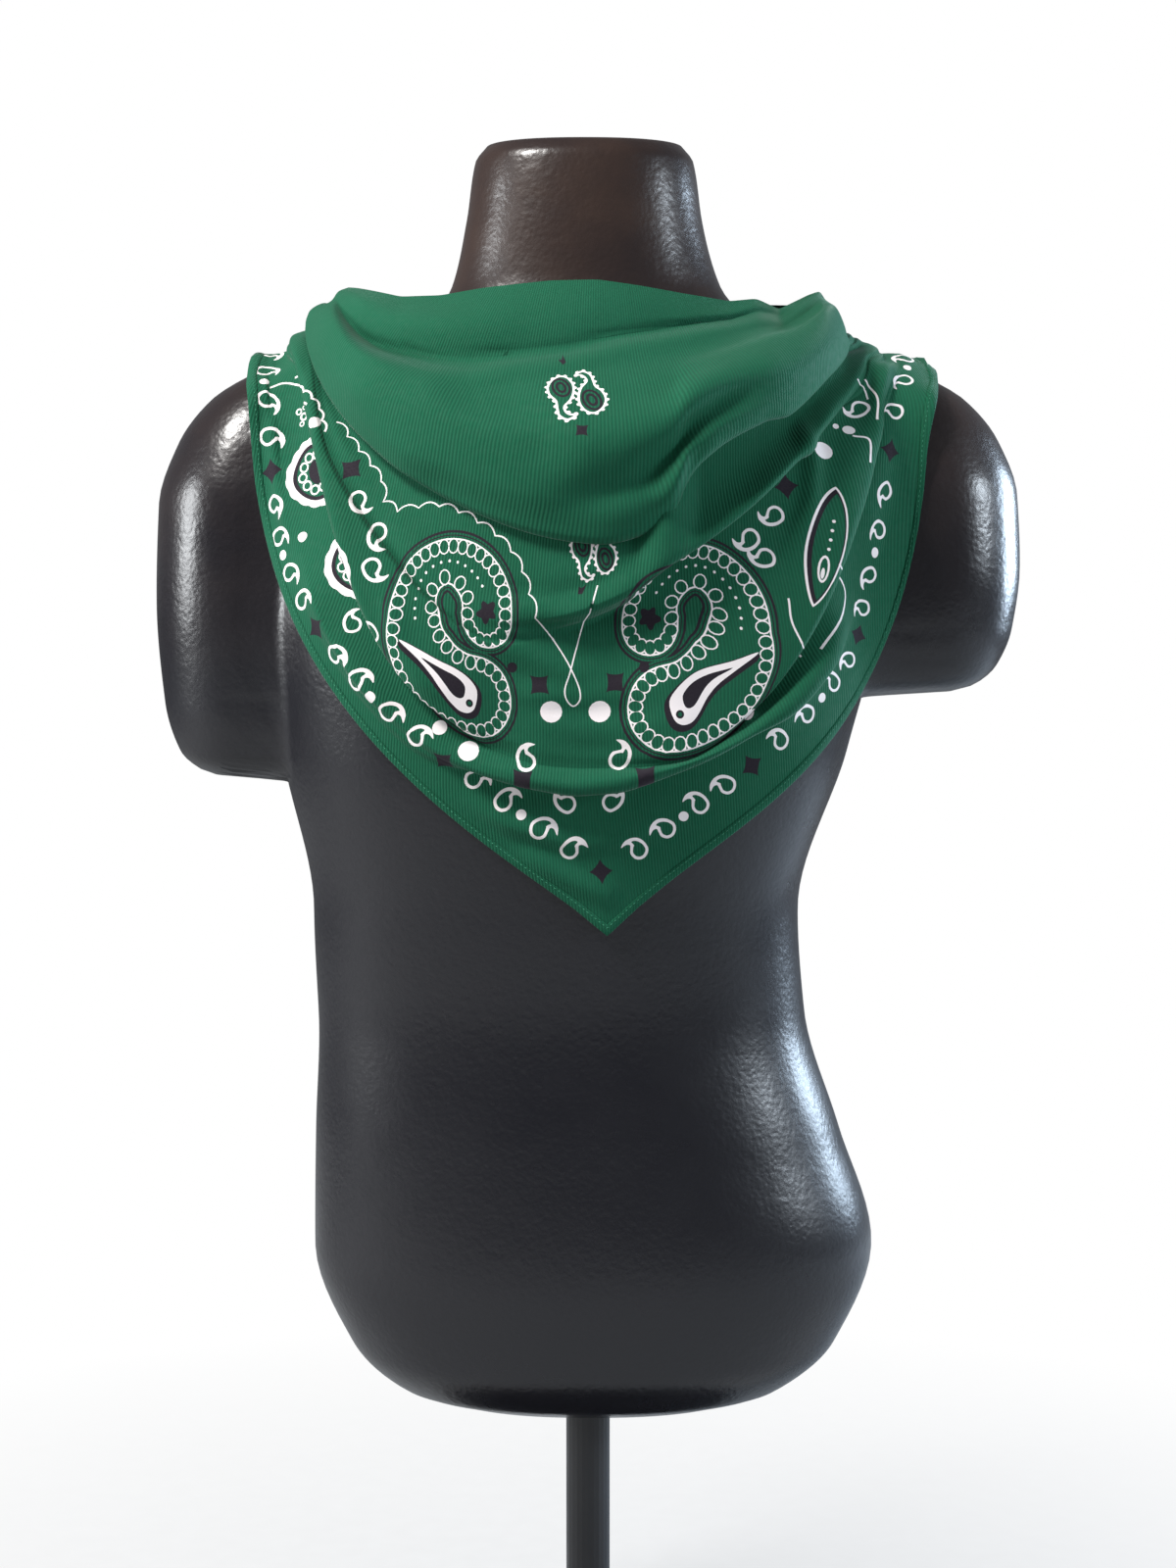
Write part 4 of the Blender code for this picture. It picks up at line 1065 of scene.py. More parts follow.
SMALL_OUTLINE = (
    (-5.1, 0.4), (-4.3, -3.2), (-1.3, -5.2), (2.3, -4.9), (4.8, -2.3), (5.0, 1.4), (3.1, 3.9),
    (1.9, 5.6), (3.4, 7.3), (6.6, 7.9), (3.2, 9.6), (-0.6, 8.9), (-3.4, 6.6), (-4.8, 3.6),
)
SMALL_OPENING = (
    (-3.5, 0.4), (-2.9, -2.3), (-0.8, -3.6), (1.7, -3.4), (3.4, -1.5), (3.4, 1.0), (1.9, 2.8),
    (0.3, 4.3), (0.2, 6.6), (-1.6, 5.8), (-3.0, 3.3),
)


def small_paisley(size):
    """A single outlined drop with a hooked tip, about 14 mm high at size 1."""
    return [
        (WHITE, rounded(SMALL_OUTLINE, 3) * size), (GROUND, rounded(SMALL_OPENING, 3) * size),
        (WHITE, oval(1.2 * size, 4.4 * size, 1.0 * size, 0.7 * size, 40, 10)),
    ]


PAIR_OUTLINE = (
    (-15.2, 4.6), (-14.0, -0.8), (-10.9, -4.4), (-10.2, -8.6), (-8.8, -13.0), (-4.2, -15.4),
    (0.3, -12.6), (-3.8, -11.6), (-5.6, -8.2), (-2.6, -4.4), (-0.8, 0.4), (-0.7, 6.0), (-3.4, 10.8),
    (-8.0, 12.6), (-12.8, 9.8),
)


def paisley_pair(size):
    """Two drops laid head to tail, with a knotted white outline and dark seeds."""
    loops = []
    for turn in (0.0, 180.0):
        outline = turned(rounded(PAIR_OUTLINE, 4) * (0.84 * size, size), turn)
        knots = along_loop(outline, 3.2 * size)[0]
        loops.append((WHITE, outline))
        loops += [(WHITE, oval(x, y, size, 0.9 * size, 0, 8)) for x, y in knots]
        loops.append((GROUND, grown(outline, -size)))
        middle = turned(np.array([[-6.4, 4.2]]) * size, turn)[0]
        for ink, wide, high in (
            (BLACK, 4.2, 6.6), (GROUND, 3.1, 5.3), (BLACK, 2.3, 4.0), (GROUND, 1.2, 2.4),
        ):
            loops.append((ink, oval(*middle, wide * size, high * size, 14 + turn, 18)))
    return loops


# The large paisley's spine winds round its curl: degrees from the end of the curl, distance from
# the middle of the curl, and half width, in millimetres.
SPINE_COLUMNS = ("wound", "reach", "half_width")
SPINE = (
    (0, 25, 17),
    (60, 25, 15),
    (110, 26, 12.5),
    (155, 25, 14),
    (200, 24, 16),
    (240, 31, 20.5),
    (270, 42, 23.5),
    (296, 51, 23.5),
)
CURL_START = 200.0
BEAD_PITCH, BEAD_INSET = 7.3, 4.3


def curled_paisley(size):
    """A large curled paisley: dark outline, white line with a chain of beads inside it, a row of
    tiny dots, a dark flower in the curl and a seeded drop in the bowl."""
    wound = np.linspace(0.0, SPINE[-1][0], 72)
    places = column(SPINE, SPINE_COLUMNS, "wound")
    reach = smooth_curve(wound, places, column(SPINE, SPINE_COLUMNS, "reach"))
    half = smooth_curve(wound, places, column(SPINE, SPINE_COLUMNS, "half_width"))
    a = np.radians(CURL_START - wound)
    spine = np.stack([reach * np.cos(a), reach * np.sin(a)], axis=1)
    way = unit(np.gradient(spine, axis=0))
    side = left_of(way)

    def cap(i, from_way, to_way):
        turn = np.linspace(0.0, math.pi, 14)[1:-1]
        return spine[i] + half[i] * (np.outer(np.cos(turn), from_way) + np.outer(np.sin(turn), to_way))

    loop = np.concatenate([
        spine - side * half[:, None], cap(-1, -side[-1], way[-1]),
        (spine + side * half[:, None])[::-1], cap(0, side[0], -way[0]),
    ])
    loop = evenly(loop, 150)[:-1]
    loops = bands(loop, (BLACK, 4.4), (GROUND, 3.0), (BLACK, 1.9), (GROUND, 1.3), (WHITE, 0), (GROUND, -1.0))
    at, out = along_loop(loop, BEAD_PITCH)
    for ink, wide, high in ((WHITE, 3.75, 4.4), (GROUND, 2.95, 3.65)):
        for (x, y), (u, v) in zip(at, out):
            turn = math.degrees(math.atan2(v, u)) - 90
            loops.append((ink, oval(x - BEAD_INSET * u, y - BEAD_INSET * v, wide, high, turn, 12)))
    for k in range(10, 52, 3):
        loops.append((WHITE, oval(*spine[k], 0.85, 0.85, 0, 8)))
    flower = all_round(30)
    petal = 5.6 + 1.3 * np.cos(5 * flower) + 0.5 * np.cos(2 * flower + 1)
    loops.append((BLACK, spine[2] + np.stack([petal * np.cos(flower), petal * np.sin(flower)], axis=1)))
    loops += seeded_drop(spine[-5] + (-3.0, 2.0), 52.0)
    return [(ink, points * size) for ink, points in loops]


DROP_OUTLINE = (
    (-16.0, -1.0), (-15.0, -6.4), (-10.0, -9.4), (-3.0, -9.0), (6.0, -6.6), (16.0, -4.4),
    (27.0, -3.6), (42.0, -4.2), (29.0, 0.6), (17.0, 4.4), (6.6, 7.8), (-3.0, 9.2), (-11.4, 7.2),
)


def seeded_drop(place, turn):
    """A white drop with a dark seed and a dark shadow behind it."""
    outline = rounded(DROP_OUTLINE, 4)
    seed = rounded(np.array(DROP_OUTLINE) * (0.56, 0.5) + (2.0, 0.4), 3)
    parts = [
        (BLACK, grown(outline, 1.8) + (-2.0, -0.8)), (WHITE, outline), (BLACK, seed),
        (BLACK, oval(-12.0, -1.6, 2.3, 2.3, 0, 12)), (GROUND, oval(-12.0, -1.6, 1.2, 1.2, 0, 8)),
    ]
    return [(ink, turned(points, turn) + place) for ink, points in parts]


def scalloped_leaf(width, height):
    """A pointed leaf: a scalloped white edge, a dark line, and a chain of beads round a dark seed."""
    a = all_round(72)
    shape = np.stack([
        width / 2 * np.cos(a) * (1 - 0.16 * np.sin(a) ** 2), height / 2 * np.sin(a)], axis=1)
    scallop = 1 + 0.045 * np.abs(np.sin(7.5 * a))[:, None]
    loops = [(WHITE, shape * scallop)] + bands(shape, (BLACK, -0.09 * width), (GROUND, -0.15 * width))
    inner = grown(shape, -0.25 * width)
    for ink, r in ((WHITE, 0.085), (GROUND, 0.057)):
        for x, y in along_loop(inner, 0.165 * width)[0]:
            loops.append((ink, oval(x, y, r * width, r * width, 0, 10)))
    loops.append((BLACK, shape * (0.26, 0.36)))
    return loops


def large_leaf(size):
    """The leaf by the laid pleat, which runs in under it: its middle is to the right of its place."""
    leaf = scalloped_leaf(36.0 * size, 39.0 * size)
    return [(ink, points + (9.0 * size, 0.0)) for ink, points in leaf]


def narrow_leaf(size):
    """A tall narrow leaf with a dark band down one side and a few beads."""
    a = all_round(60)
    shape = np.stack([8.6 * np.cos(a) * np.abs(np.cos(a)) ** 0.5, 29.0 * np.sin(a)], axis=1)
    loops = [(WHITE, shape), (BLACK, grown(shape, -1.0) + (0.2, 0)), (GROUND, grown(shape, -2.3) + (0.9, 0))]
    loops += [(WHITE, oval(1.2, y, 0.8, 0.8, 0, 8)) for y in (12.0, 7.5, 3.0, -1.5)]
    for ink, y, wide, high, count in (
        (WHITE, -11.0, 2.7, 6.4, 16), (GROUND, -11.0, 1.7, 5.2, 14), (WHITE, -13.0, 0.9, 2.6, 10),
    ):
        loops.append((ink, oval(0.8, y, wide, high, 4, count)))
    return [(ink, (points + (5.0, 0.0)) * size) for ink, points in loops]


def pointed_tick(size):
    return [(BLACK, np.array([(-1.2, -3.0), (1.0, -2.2), (1.4, 3.2), (-0.4, 0.4), (-2.2, 1.0)]) * size)]


def bead_cluster(size):
    loops = []
    for x, y, r in ((0, 0, 3.0), (4.4, 2.6, 2.1), (-3.6, 3.8, 2.4), (0.8, 5.8, 1.8), (-1.6, -4.4, 1.9)):
        loops += [(WHITE, oval(x, y, r, r * 0.9, 30, 12)), (GROUND, oval(x, y, r * 0.55, r * 0.5, 30, 8))]
    return [(ink, points * size) for ink, points in loops]


# How the flat motifs are laid on the folded cloth. A place on the cloth is two numbers: how many
# columns across and how many rows down.
across_way = np.gradient(cloth, axis=0)
down_way = np.gradient(cloth, axis=1)
flat_across = np.gradient(flat_cloth, axis=0)
flat_down = np.gradient(flat_cloth, axis=1)


def corner_of(field, p, q):
    """The column and row just before each place."""
    return (np.clip(np.floor(at).astype(int), 0, count - 2) for at, count in zip((p, q), field.shape))


def sample(field, p, q):
    """The field's value between its columns and rows, in straight steps."""
    i, j = corner_of(field, p, q)
    s, t = (p - i)[..., None], (q - j)[..., None]
    return ((1 - s) * (1 - t) * field[i, j] + s * (1 - t) * field[i + 1, j]
            + (1 - s) * t * field[i, j + 1] + s * t * field[i + 1, j + 1])


def smooth_sample(field, p, q):
    """The field's value on smooth curves through its sixteen nearest points."""
    i, j = corner_of(field, p, q)
    across, down = spline_weights(p - i), spline_weights(q - j)
    total = 0.0
    for a in range(4):
        for b in range(4):
            column_at = np.clip(i + a - 1, 0, field.shape[0] - 1)
            row_at = np.clip(j + b - 1, 0, field.shape[1] - 1)
            total = total + (across[:, a] * down[:, b])[:, None] * field[column_at, row_at]
    return total


quads = grid_quads(ACROSS, DOWN)
halves = np.concatenate([quads[:, [0, 1, 2]], quads[:, [0, 2, 3]]])


def place_in(points, number, spot):
    """The place on the cloth of a spot on one of its triangles."""
    corners = halves[number]
    a, b, c = points[corners]
    u, v, w = b - a, c - a, np.asarray(spot)[:points.shape[1]] - a
    uu, uv, vv, uw, vw = u @ u, u @ v, v @ v, u @ w, v @ w
    size = max(uu * vv - uv * uv, 1e-12)
    s, t = (vv * uw - uv * vw) / size, (uu * vw - uv * uw) / size
    places = np.stack([corners // DOWN, corners % DOWN], axis=1).astype(float)
    return places[0] + s * (places[1] - places[0]) + t * (places[2] - places[0])


hung_points, flat_points = cloth.reshape(-1, 3), flat_cloth.reshape(-1, 2)
hung = BVHTree.FromPolygons(hung_points.tolist(), halves.tolist())
laid = BVHTree.FromPolygons(
    np.concatenate([flat_points, np.zeros((len(flat_points), 1))], axis=1).tolist(), halves.tolist())


IN_FRONT_OF_ALL = -400.0  # where the line of sight starts


def found_at(x, z):
    """The place on the cloth that shows at x and z, seen from the front."""
    spot, _, number, _ = hung.ray_cast(Vector((x, IN_FRONT_OF_ALL, z)), Vector((0, 1, 0)))
    return None if number is None else place_in(hung_points, number, spot)


def kept_inside(places, across, down):
    """The places, moved in to just inside the cloth's edge where they lie beyond it."""
    margin = 0.03
    return np.clip(places, margin, (across - 1 - margin, down - 1 - margin))


def lay(points):
    """The places on the cloth of points on the flat bandana."""
    places = []
    for x, y in points.tolist():
        spot, _, number, _ = laid.ray_cast(Vector((x, y, 9.0)), Vector((0, 0, -1)))
        if number is None:
            spot, _, number, _ = laid.find_nearest(Vector((x, y, 0.0)))
        places.append(place_in(flat_points, number, spot))
    return kept_inside(np.array(places), ACROSS, DOWN)


# The border: its motifs along one repeat from diamond to diamond, and how far it is from the edge.
REPEAT = 103.0
BORDER_INSET = 25.0
EDGE_COLUMNS = ("along", "inset", "pace")  # pace is where along the edge the print falls there
LEFT_EDGE = (
    (0, 25, 0), (130, 24, 130), (180, 18.5, 180), (231, 13, 231),
    (290, 9, 290), (322, 12, 322), (350, 10, 350), (700, 10, 700),
)
RIGHT_EDGE = (
    (0, 25, 0), (128, 25, 121), (231, 24, 245), (334, 21, 360),
    (440, 21, 470), (700, 25, 730),
)
BORDER_REPEATS = 6
BORDER_ENDS = 30.0  # the border stops this far from the ends of the edge
BORDER_NEEDS = 2.2 * BORDER_INSET  # and where less cloth than this shows above the edge
EDGE_SMOOTHINGS = 12
BORDER = (  # motif, how far on from the last diamond, turn, size
    (hollow_diamond, 0, 0, 7.4),
    (small_paisley, 19.2, -6, 1),
    (small_paisley, 39.2, -34, 1),
    (dot, 51.6, 0, 2.9),
    (small_paisley, 63.8, -8, 1),
    (small_paisley, 83.8, -36, 1),
)

# The field, as it shows from the front once the cloth is folded: motif, place, turn, size, and
# how wide it is for its height, below zero for its mirror image.
FIELD = (
    (paisley_pair, -6, 749, 0, 1.12, 1),
    (hollow_diamond, -3, 730, 40, 3.8, 1),
    (pointed_tick, -13, 767, 20, 1.0, 1),
    (paisley_pair, 3, 669, 4, 0.95, 1),
    (pointed_tick, -3, 650, -20, 1.0, 1),
    (curled_paisley, -71, 640, 11, 0.93, -0.84),
    (curled_paisley, 54, 638, -11, 0.93, 1.03),
    (hollow_diamond, -25, 601, 45, 7.0, 1),
    (hollow_diamond, 14, 602, 45, 7.0, 1),
    (dark_dot, -39, 610, 0, 2.9, 1),
    (dark_dot, 29, 610, 0, 2.9, 1),
    (dot, -19, 587, 0, 5.8, 1),
    (dot, 6, 587, 0, 5.8, 1),
    (dot, -62, 566, 0, 5.6, 1),
    (dot, -77, 578, 0, 4.0, 1),
    (dot, 84, 585, 0, 4.0, 1),
    (small_paisley, -11, 538, 60, 0.95, 1),
    (small_paisley, 12, 539, -60, 0.95, -1),
    (small_paisley, -32, 561, 10, 1.0, 1),
    (small_paisley, 16, 562, -30, 1.0, -1),
    (hollow_diamond, -34, 551, 45, 7.2, 1),
    (hollow_diamond, 30, 552, 45, 7.2, 1),
    (small_paisley, -120, 696, 200, 0.95, -1),
    (small_paisley, -109, 679, 165, 1.0, -1),
    (small_paisley, -112, 661, 205, 0.95, -1),
    (small_paisley, 97, 688, 120, 0.95, 1),
    (small_paisley, 84, 676, 130, 1.0, 1),
    (small_paisley, 92, 666, 100, 0.95, 1),
    (hollow_diamond, -124, 712, 50, 7.4, 1),
    (hollow_diamond, 103, 703, 10, 7.4, 1),
    (large_leaf, -152, 708, 10, 1.0, 1),
    (large_leaf, -129, 661, 14, 1.0, 1),
    (narrow_leaf, 118, 674, -17, 1.12, 1),
    (dot, 123, 722, 0, 5.4, 1),
    (dot, 131, 735, 0, 1.8, 1),
    (dot, -151, 677, 0, 2.9, 1),
    (bead_cluster, -152, 741, 0, 0.9, 1),
    (small_paisley, 145, 745, 150, 1.05, 1),
    (dot, 138, 733, 0, 3.0, 1),
    (dot, -145, 737, 0, 3.4, 1),
    (small_paisley, -123, 631, 20, 0.85, 1),
    (small_paisley, -111, 627, 60, 0.8, -1),
)

printed = []  # (ink, loop of places on the cloth)


def print_motif(middle, right, motif, size, turn, wide=1):
    """Prints a motif at a place of the flat bandana. right is the way its x axis takes there, and
    wide is how wide it is for its height, below zero for its mirror image."""
    hand = 1 if wide > 0 else -1
    way = unit(right)
    axes = np.array([way, left_of(way)])
    loops = [(ink, turned(loop * (wide, 1), turn)[::hand]) for ink, loop in motif(size)]
    places = lay(np.concatenate([loop for _, loop in loops]) @ axes + middle)
    first = 0
    for ink, loop in loops:
        printed.append((ink, places[first:first + len(loop)]))
        first += len(loop)


flat_edge = flat_cloth[:, -1]
edge_length = run_of(flat_edge)
corner_column = FINER * (BACK_STEPS + FRONT_STEPS)
column_length = np.linalg.norm(np.diff(cloth, axis=1), axis=-1).sum(axis=1)
edge_way = np.gradient(flat_edge, axis=0)
for _ in range(EDGE_SMOOTHINGS):
    edge_way[1:-1] = (edge_way[:-2] + 2 * edge_way[1:-1] + edge_way[2:]) / 4
corner_diamond = edge_length[corner_column]
for hand, edge_table in ((-1, LEFT_EDGE), (1, RIGHT_EDGE)):
    along, insets, paces = (column(edge_table, EDGE_COLUMNS, name) for name in EDGE_COLUMNS)
    for repeat in range(BORDER_REPEATS):
        for motif, at, turn, size in BORDER:
            if repeat == 0 and at == 0.0:
                continue
            printed_at = BORDER_INSET + repeat * REPEAT + at
            wanted = corner_diamond + hand * float(np.interp(printed_at, along, paces))
            if not BORDER_ENDS < wanted < edge_length[-1] - BORDER_ENDS:
                continue
            p = float(np.interp(wanted, edge_length, np.arange(ACROSS)))
            if column_length[int(p)] < BORDER_NEEDS:
                continue
            right = unit(read_off([p], np.arange(ACROSS), edge_way)[0])
            start = read_off([p], np.arange(ACROSS), flat_edge)[0]
            inset = float(np.interp(printed_at, along, insets))
            print_motif(start + inset * left_of(right), right, motif, size, turn * -hand, -hand)
print_motif(flat_edge[corner_column] + (0.0, BORDER_INSET * math.sqrt(2)), np.array([1.0, 0.0]),
            hollow_diamond, 6.8, 0.0)
for motif, x, z, turn, size, wide in FIELD:
    start = found_at(x, z)
    if start is not None:
        sp, sq = sample(across_way, *start), sample(down_way, *start)
        steps = np.linalg.lstsq(np.stack([sp, sq], axis=1), np.array([1.0, 0.0, 0.0]), rcond=None)[0]
        right = steps[0] * sample(flat_across, *start) + steps[1] * sample(flat_down, *start)
        print_motif(sample(flat_cloth, *start), right, motif, size, turn, wide)

# The thin white lines of the field: how thick, how wide and high each scallop is, or 0 for a plain
# line, and a few places that the line passes, as x and z.
FIELD_LINES = (
    (0.75, 12.0, 2.6, ((-133, 737), (-108, 706), (-104, 690), (-74, 692), (-40, 670), (-27, 636))),
    (0.75, 0.0, 0.0, (
        (-27, 636), (-14, 618), (-6, 603), (-4, 594), (-8, 590), (-12, 597), (-8, 612), (5, 652))),
    (1.2, 0.0, 0.0, ((149, 761), (155, 751), (154, 739))),
    (1.1, 0.0, 0.0, ((144, 761), (148, 756), (150, 750))),
    (1.1, 0.0, 0.0, ((140, 730), (149, 728), (149, 716))),
    (1.1, 0.0, 0.0, ((104, 645), (107, 630), (112, 614))),
    (1.1, 0.0, 0.0, ((131, 663), (136, 647), (122, 618))),
    (1.2, 8.0, 1.8, ((-158, 762), (-146, 749), (-139, 732))),
    (1.2, 0.0, 0.0, ((-172, 757), (-160, 759), (-149, 747))),
)


def flat_place(x, z):
    start = found_at(x, z)
    return None if start is None else sample(flat_cloth, *start)


for width, scallop, rise, nodes in FIELD_LINES:
    spots = [spot for spot in (flat_place(x, z) for x, z in nodes) if spot is not None]
    if len(spots) < 3:
        continue
    spots = np.array(spots)
    line = spline_through(spots, np.linspace(0.0, len(spots) - 1.001, 6 * len(spots)))
    if scallop:
        ends = evenly(line, max(int(round(run_of(line)[-1] / scallop)), 1) + 1)
        t = np.linspace(0.0, 1.0, 9)[:-1, None]
        arcs = [begin + t * (end - begin) + 4 * t * (1 - t) * rise * left_of(unit(end - begin))
                for begin, end in zip(ends, ends[1:])]
        line = np.concatenate(arcs + [ends[-1:]])
    printed.append((WHITE, lay(stroke(line, width))))


def inside(points, loop):
    """Which points a loop winds round anticlockwise."""
    winds = np.zeros(len(points), int)
    near = ((points >= loop.min(axis=0)) & (points <= loop.max(axis=0))).all(axis=1)
    x, y = points[near, 0], points[near, 1]
    found = np.zeros(near.sum(), int)
    for (x0, y0), (x1, y1) in zip(loop, np.roll(loop, -1, axis=0)):
        left = (x1 - x0) * (y - y0) - (x - x0) * (y1 - y0)
        found += ((y0 <= y) & (y1 > y) & (left > 0)).astype(int)
        found -= ((y0 > y) & (y1 <= y) & (left < 0)).astype(int)
    winds[near] = found
    return winds < 0


def cut_print(loops, wide, long):
    """Cuts the loops into a cloth's grid: places, triangles, and the ink of each triangle."""
    i, j = np.meshgrid(np.arange(wide), np.arange(long), indexing="ij")
    places = [Vector((a, b)) for a, b in zip(i.ravel().tolist(), j.ravel().tolist())]
    edges = []
    for _, loop in loops:
        first = len(places)
        places += [Vector((float(a), float(b))) for a, b in loop]
        edges += [(first + k, first + (k + 1) % len(loop)) for k in range(len(loop))]
    cut = delaunay_2d_cdt(places, edges, [], 0, 1e-5, False)
    places = np.array([tuple(place) for place in cut[0]])
    triangles = np.array(cut[2])
    middle = places[triangles].mean(axis=1)
    ink = np.zeros(len(triangles), int)
    for colour, loop in loops:
        ink[inside(middle, loop)] = colour
    return places, triangles, ink


def add_printed_cloth(name, loops, middle, ways, flat, finishes):
    """A printed cloth: the printed face, the plain inner face, and the edge that joins them."""
    wide, long = middle.shape[:2]
    places, triangles, ink = cut_print(loops, wide, long)
    p, q = places[:, 0], places[:, 1]
    out = unit(smooth_sample(ways, p, q))
    face = smooth_sample(middle, p, q) + out * CLOTH_THICKNESS / 2
    lining = (middle - ways * CLOTH_THICKNESS / 2).reshape(-1, 3)
    first = len(face)
    whole = np.rint(places).astype(int)
    on_grid = np.flatnonzero(np.abs(places - whole).max(axis=1) < 1e-7)
    face_number = np.zeros(wide * long, int)
    face_number[whole[on_grid] @ (long, 1)] = on_grid
    faces = (triangles[:, ::-1].tolist() + (grid_quads(wide, long) + first).tolist()
             + edge_quads(wide, long, face_number, first).tolist())
    flat_face = sample(flat, p, q)
    made = finish_mesh(name, np.concatenate([face, lining]), faces,
                       np.concatenate([flat_face, flat.reshape(-1, 2)]), finishes[0])
    for finish in finishes[1:]:
        made.data.materials.append(finish)
    slots = np.zeros(len(faces), np.int32)
    slots[:len(triangles)] = ink
    made.data.polygons.foreach_set("material_index", slots)
    made.data.normals_split_custom_set_from_vertices(
        np.concatenate([out, -ways.reshape(-1, 3)]).tolist())
    return made


INK_THREAD_SCALE = 900.0  # repeats a metre


def ink_finish(name, colour):
    """Printing ink soaked into the cotton: an even colour with the threads showing through."""
    made, tree, shader = new_finish(name, colour, 0.8)
    shader.inputs["Specular IOR Level"].default_value = 0.2
    shader.inputs["Sheen Weight"].default_value = 0.05
    threads = add_noise(tree, flat_place_of(tree), INK_THREAD_SCALE, 3.0)
    tree.links.new(add_range(tree, threads, 0.25, 0.75, 0.7, 0.92), shader.inputs["Roughness"])
    add_bump(tree, threads, shader, 0.3, THREAD_RELIEF)
    return made


INK_WHITE = (0.78, 0.72, 0.72)
INK_BLACK = (0.013, 0.009, 0.015)
white_ink = ink_finish("white_ink", INK_WHITE)
black_ink = ink_finish("plum_black_ink", INK_BLACK)
printed_finishes = (green_cotton, white_ink, black_ink)
bandana = add_printed_cloth(
    "bandana_cloth", printed, cloth, cloth_out, flat_cloth * MM, printed_finishes)
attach(bandana, "root")
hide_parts("front_drape", "back_left", "back_right")


# ---------------------------------------------------------------- the rolled hem
# The bandana's free edge, turned twice and sewn down with a fine green lockstitch. It runs from
# shoulder to shoulder, round the hanging corner.

HEM_THICKNESS = 0.5
HEM_BEDDED = 0.05  # how deep its stitches draw it into the cloth
HEM_COLUMNS = ("from_edge", "raised")
HEM_SHAPE = ((6.4, 0.0), (5.6, 0.22), (4.6, 0.34), (3.0, 0.4), (1.4, 0.34), (0.5, 0.12), (0.0, 0.0))


def add_shell(name, surface, normals, thickness, flat, finish):
    """A doubled wall of cloth round a surface, closed along its four edges."""
    across, down = surface.shape[:2]
    count = across * down
    points = np.concatenate([
        (surface + normals * thickness / 2).reshape(-1, 3),
        (surface - normals * thickness / 2).reshape(-1, 3),
    ])
    quads = grid_quads(across, down)
    faces = np.concatenate([
        quads[:, [0, 3, 2, 1]], quads + count, edge_quads(across, down, np.arange(count), count)])
    return finish_mesh(name, points, faces.tolist(), np.concatenate([flat.reshape(-1, 2)] * 2), finish)


hem_rows, hem_ways, hem_flat = [], [], []
from_edge, raised = (column(HEM_SHAPE, HEM_COLUMNS, name) for name in HEM_COLUMNS)
for line, way, flat in zip(
    cloth[FIRST_FRONT:LAST_FRONT + 1], cloth_out[FIRST_FRONT:LAST_FRONT + 1],
    flat_cloth[FIRST_FRONT:LAST_FRONT + 1] * MM,
):
    at, out, flat_at = (
        read_off(from_edge, run_of(line[::-1]), rows[::-1]) for rows in (line, way, flat))
    hem_rows.append(at + out * (CLOTH_THICKNESS / 2 + raised - HEM_BEDDED)[:, None])
    hem_ways.append(out)
    hem_flat.append(flat_at)
hem_rows, hem_ways, hem_flat = np.array(hem_rows), np.array(hem_ways), np.array(hem_flat)
rolled_hem = add_shell("rolled_hem", hem_rows, hem_ways, HEM_THICKNESS, hem_flat, green_cotton)

SEAM_ROW = 2  # of HEM_SHAPE
STITCH_PITCH = 2.7
STITCH_HALF_SIZES = (1.05, 0.3, 0.17)  # along, across and out
STITCH_FACES = ((0, 2, 4), (2, 1, 4), (1, 3, 4), (3, 0, 4), (2, 0, 5), (1, 2, 5), (3, 1, 5), (0, 3, 5))


def sewn_along(name, line, ways, flat, finish):
    """A row of small lozenge stitches along a line that lies on the cloth."""
    length = run_of(line)
    at = np.arange(2.0, length[-1] - 2.0, STITCH_PITCH)
    middle, before, after, out, laid_at = (
        read_off(at + step, length, values)
        for step, values in ((0.0, line), (-1.0, line), (1.0, line), (0.0, ways), (0.0, flat)))
    along = unit(after - before)
    side = np.cross(out, along)
    points = np.stack([
        middle + sign * reach * way
        for reach, way in zip(STITCH_HALF_SIZES, (along, side, out)) for sign in (1, -1)], axis=1)
    faces = 6 * np.arange(len(points))[:, None, None] + np.array(STITCH_FACES)
    return finish_mesh(
        name, points.reshape(-1, 3), faces.reshape(-1, 3).tolist(), np.repeat(laid_at, 6, axis=0), finish)


def join_to(whole, part):
    bpy.ops.object.select_all(action="DESELECT")
    part.select_set(True)
    whole.select_set(True)
    bpy.context.view_layer.objects.active = whole
    bpy.ops.object.join()


THREAD_GREEN = (0.016, 0.17, 0.09)
TWIST_SCALE = 1500.0  # repeats a metre
green_thread, tree, shader = new_finish("green_sewing_thread", THREAD_GREEN, 0.6)
twist = add_noise(tree, flat_place_of(tree), TWIST_SCALE, 2.0)
tree.links.new(add_range(tree, twist, 0.3, 0.7, 0.5, 0.75), shader.inputs["Roughness"])
add_bump(tree, twist, shader, 0.4, 0.0002)
seam = hem_rows[:, SEAM_ROW] + hem_ways[:, SEAM_ROW] * HEM_THICKNESS / 2
join_to(rolled_hem, sewn_along(
    "hem_stitches", seam, hem_ways[:, SEAM_ROW], hem_flat[:, SEAM_ROW], green_thread))
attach(rolled_hem, "root")
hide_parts("front_hem")


# ---------------------------------------------------------------- the knot
# The two tails pass once round each other at the nape: a gathered core with a folded band of
# the same cloth drawn tight over it.

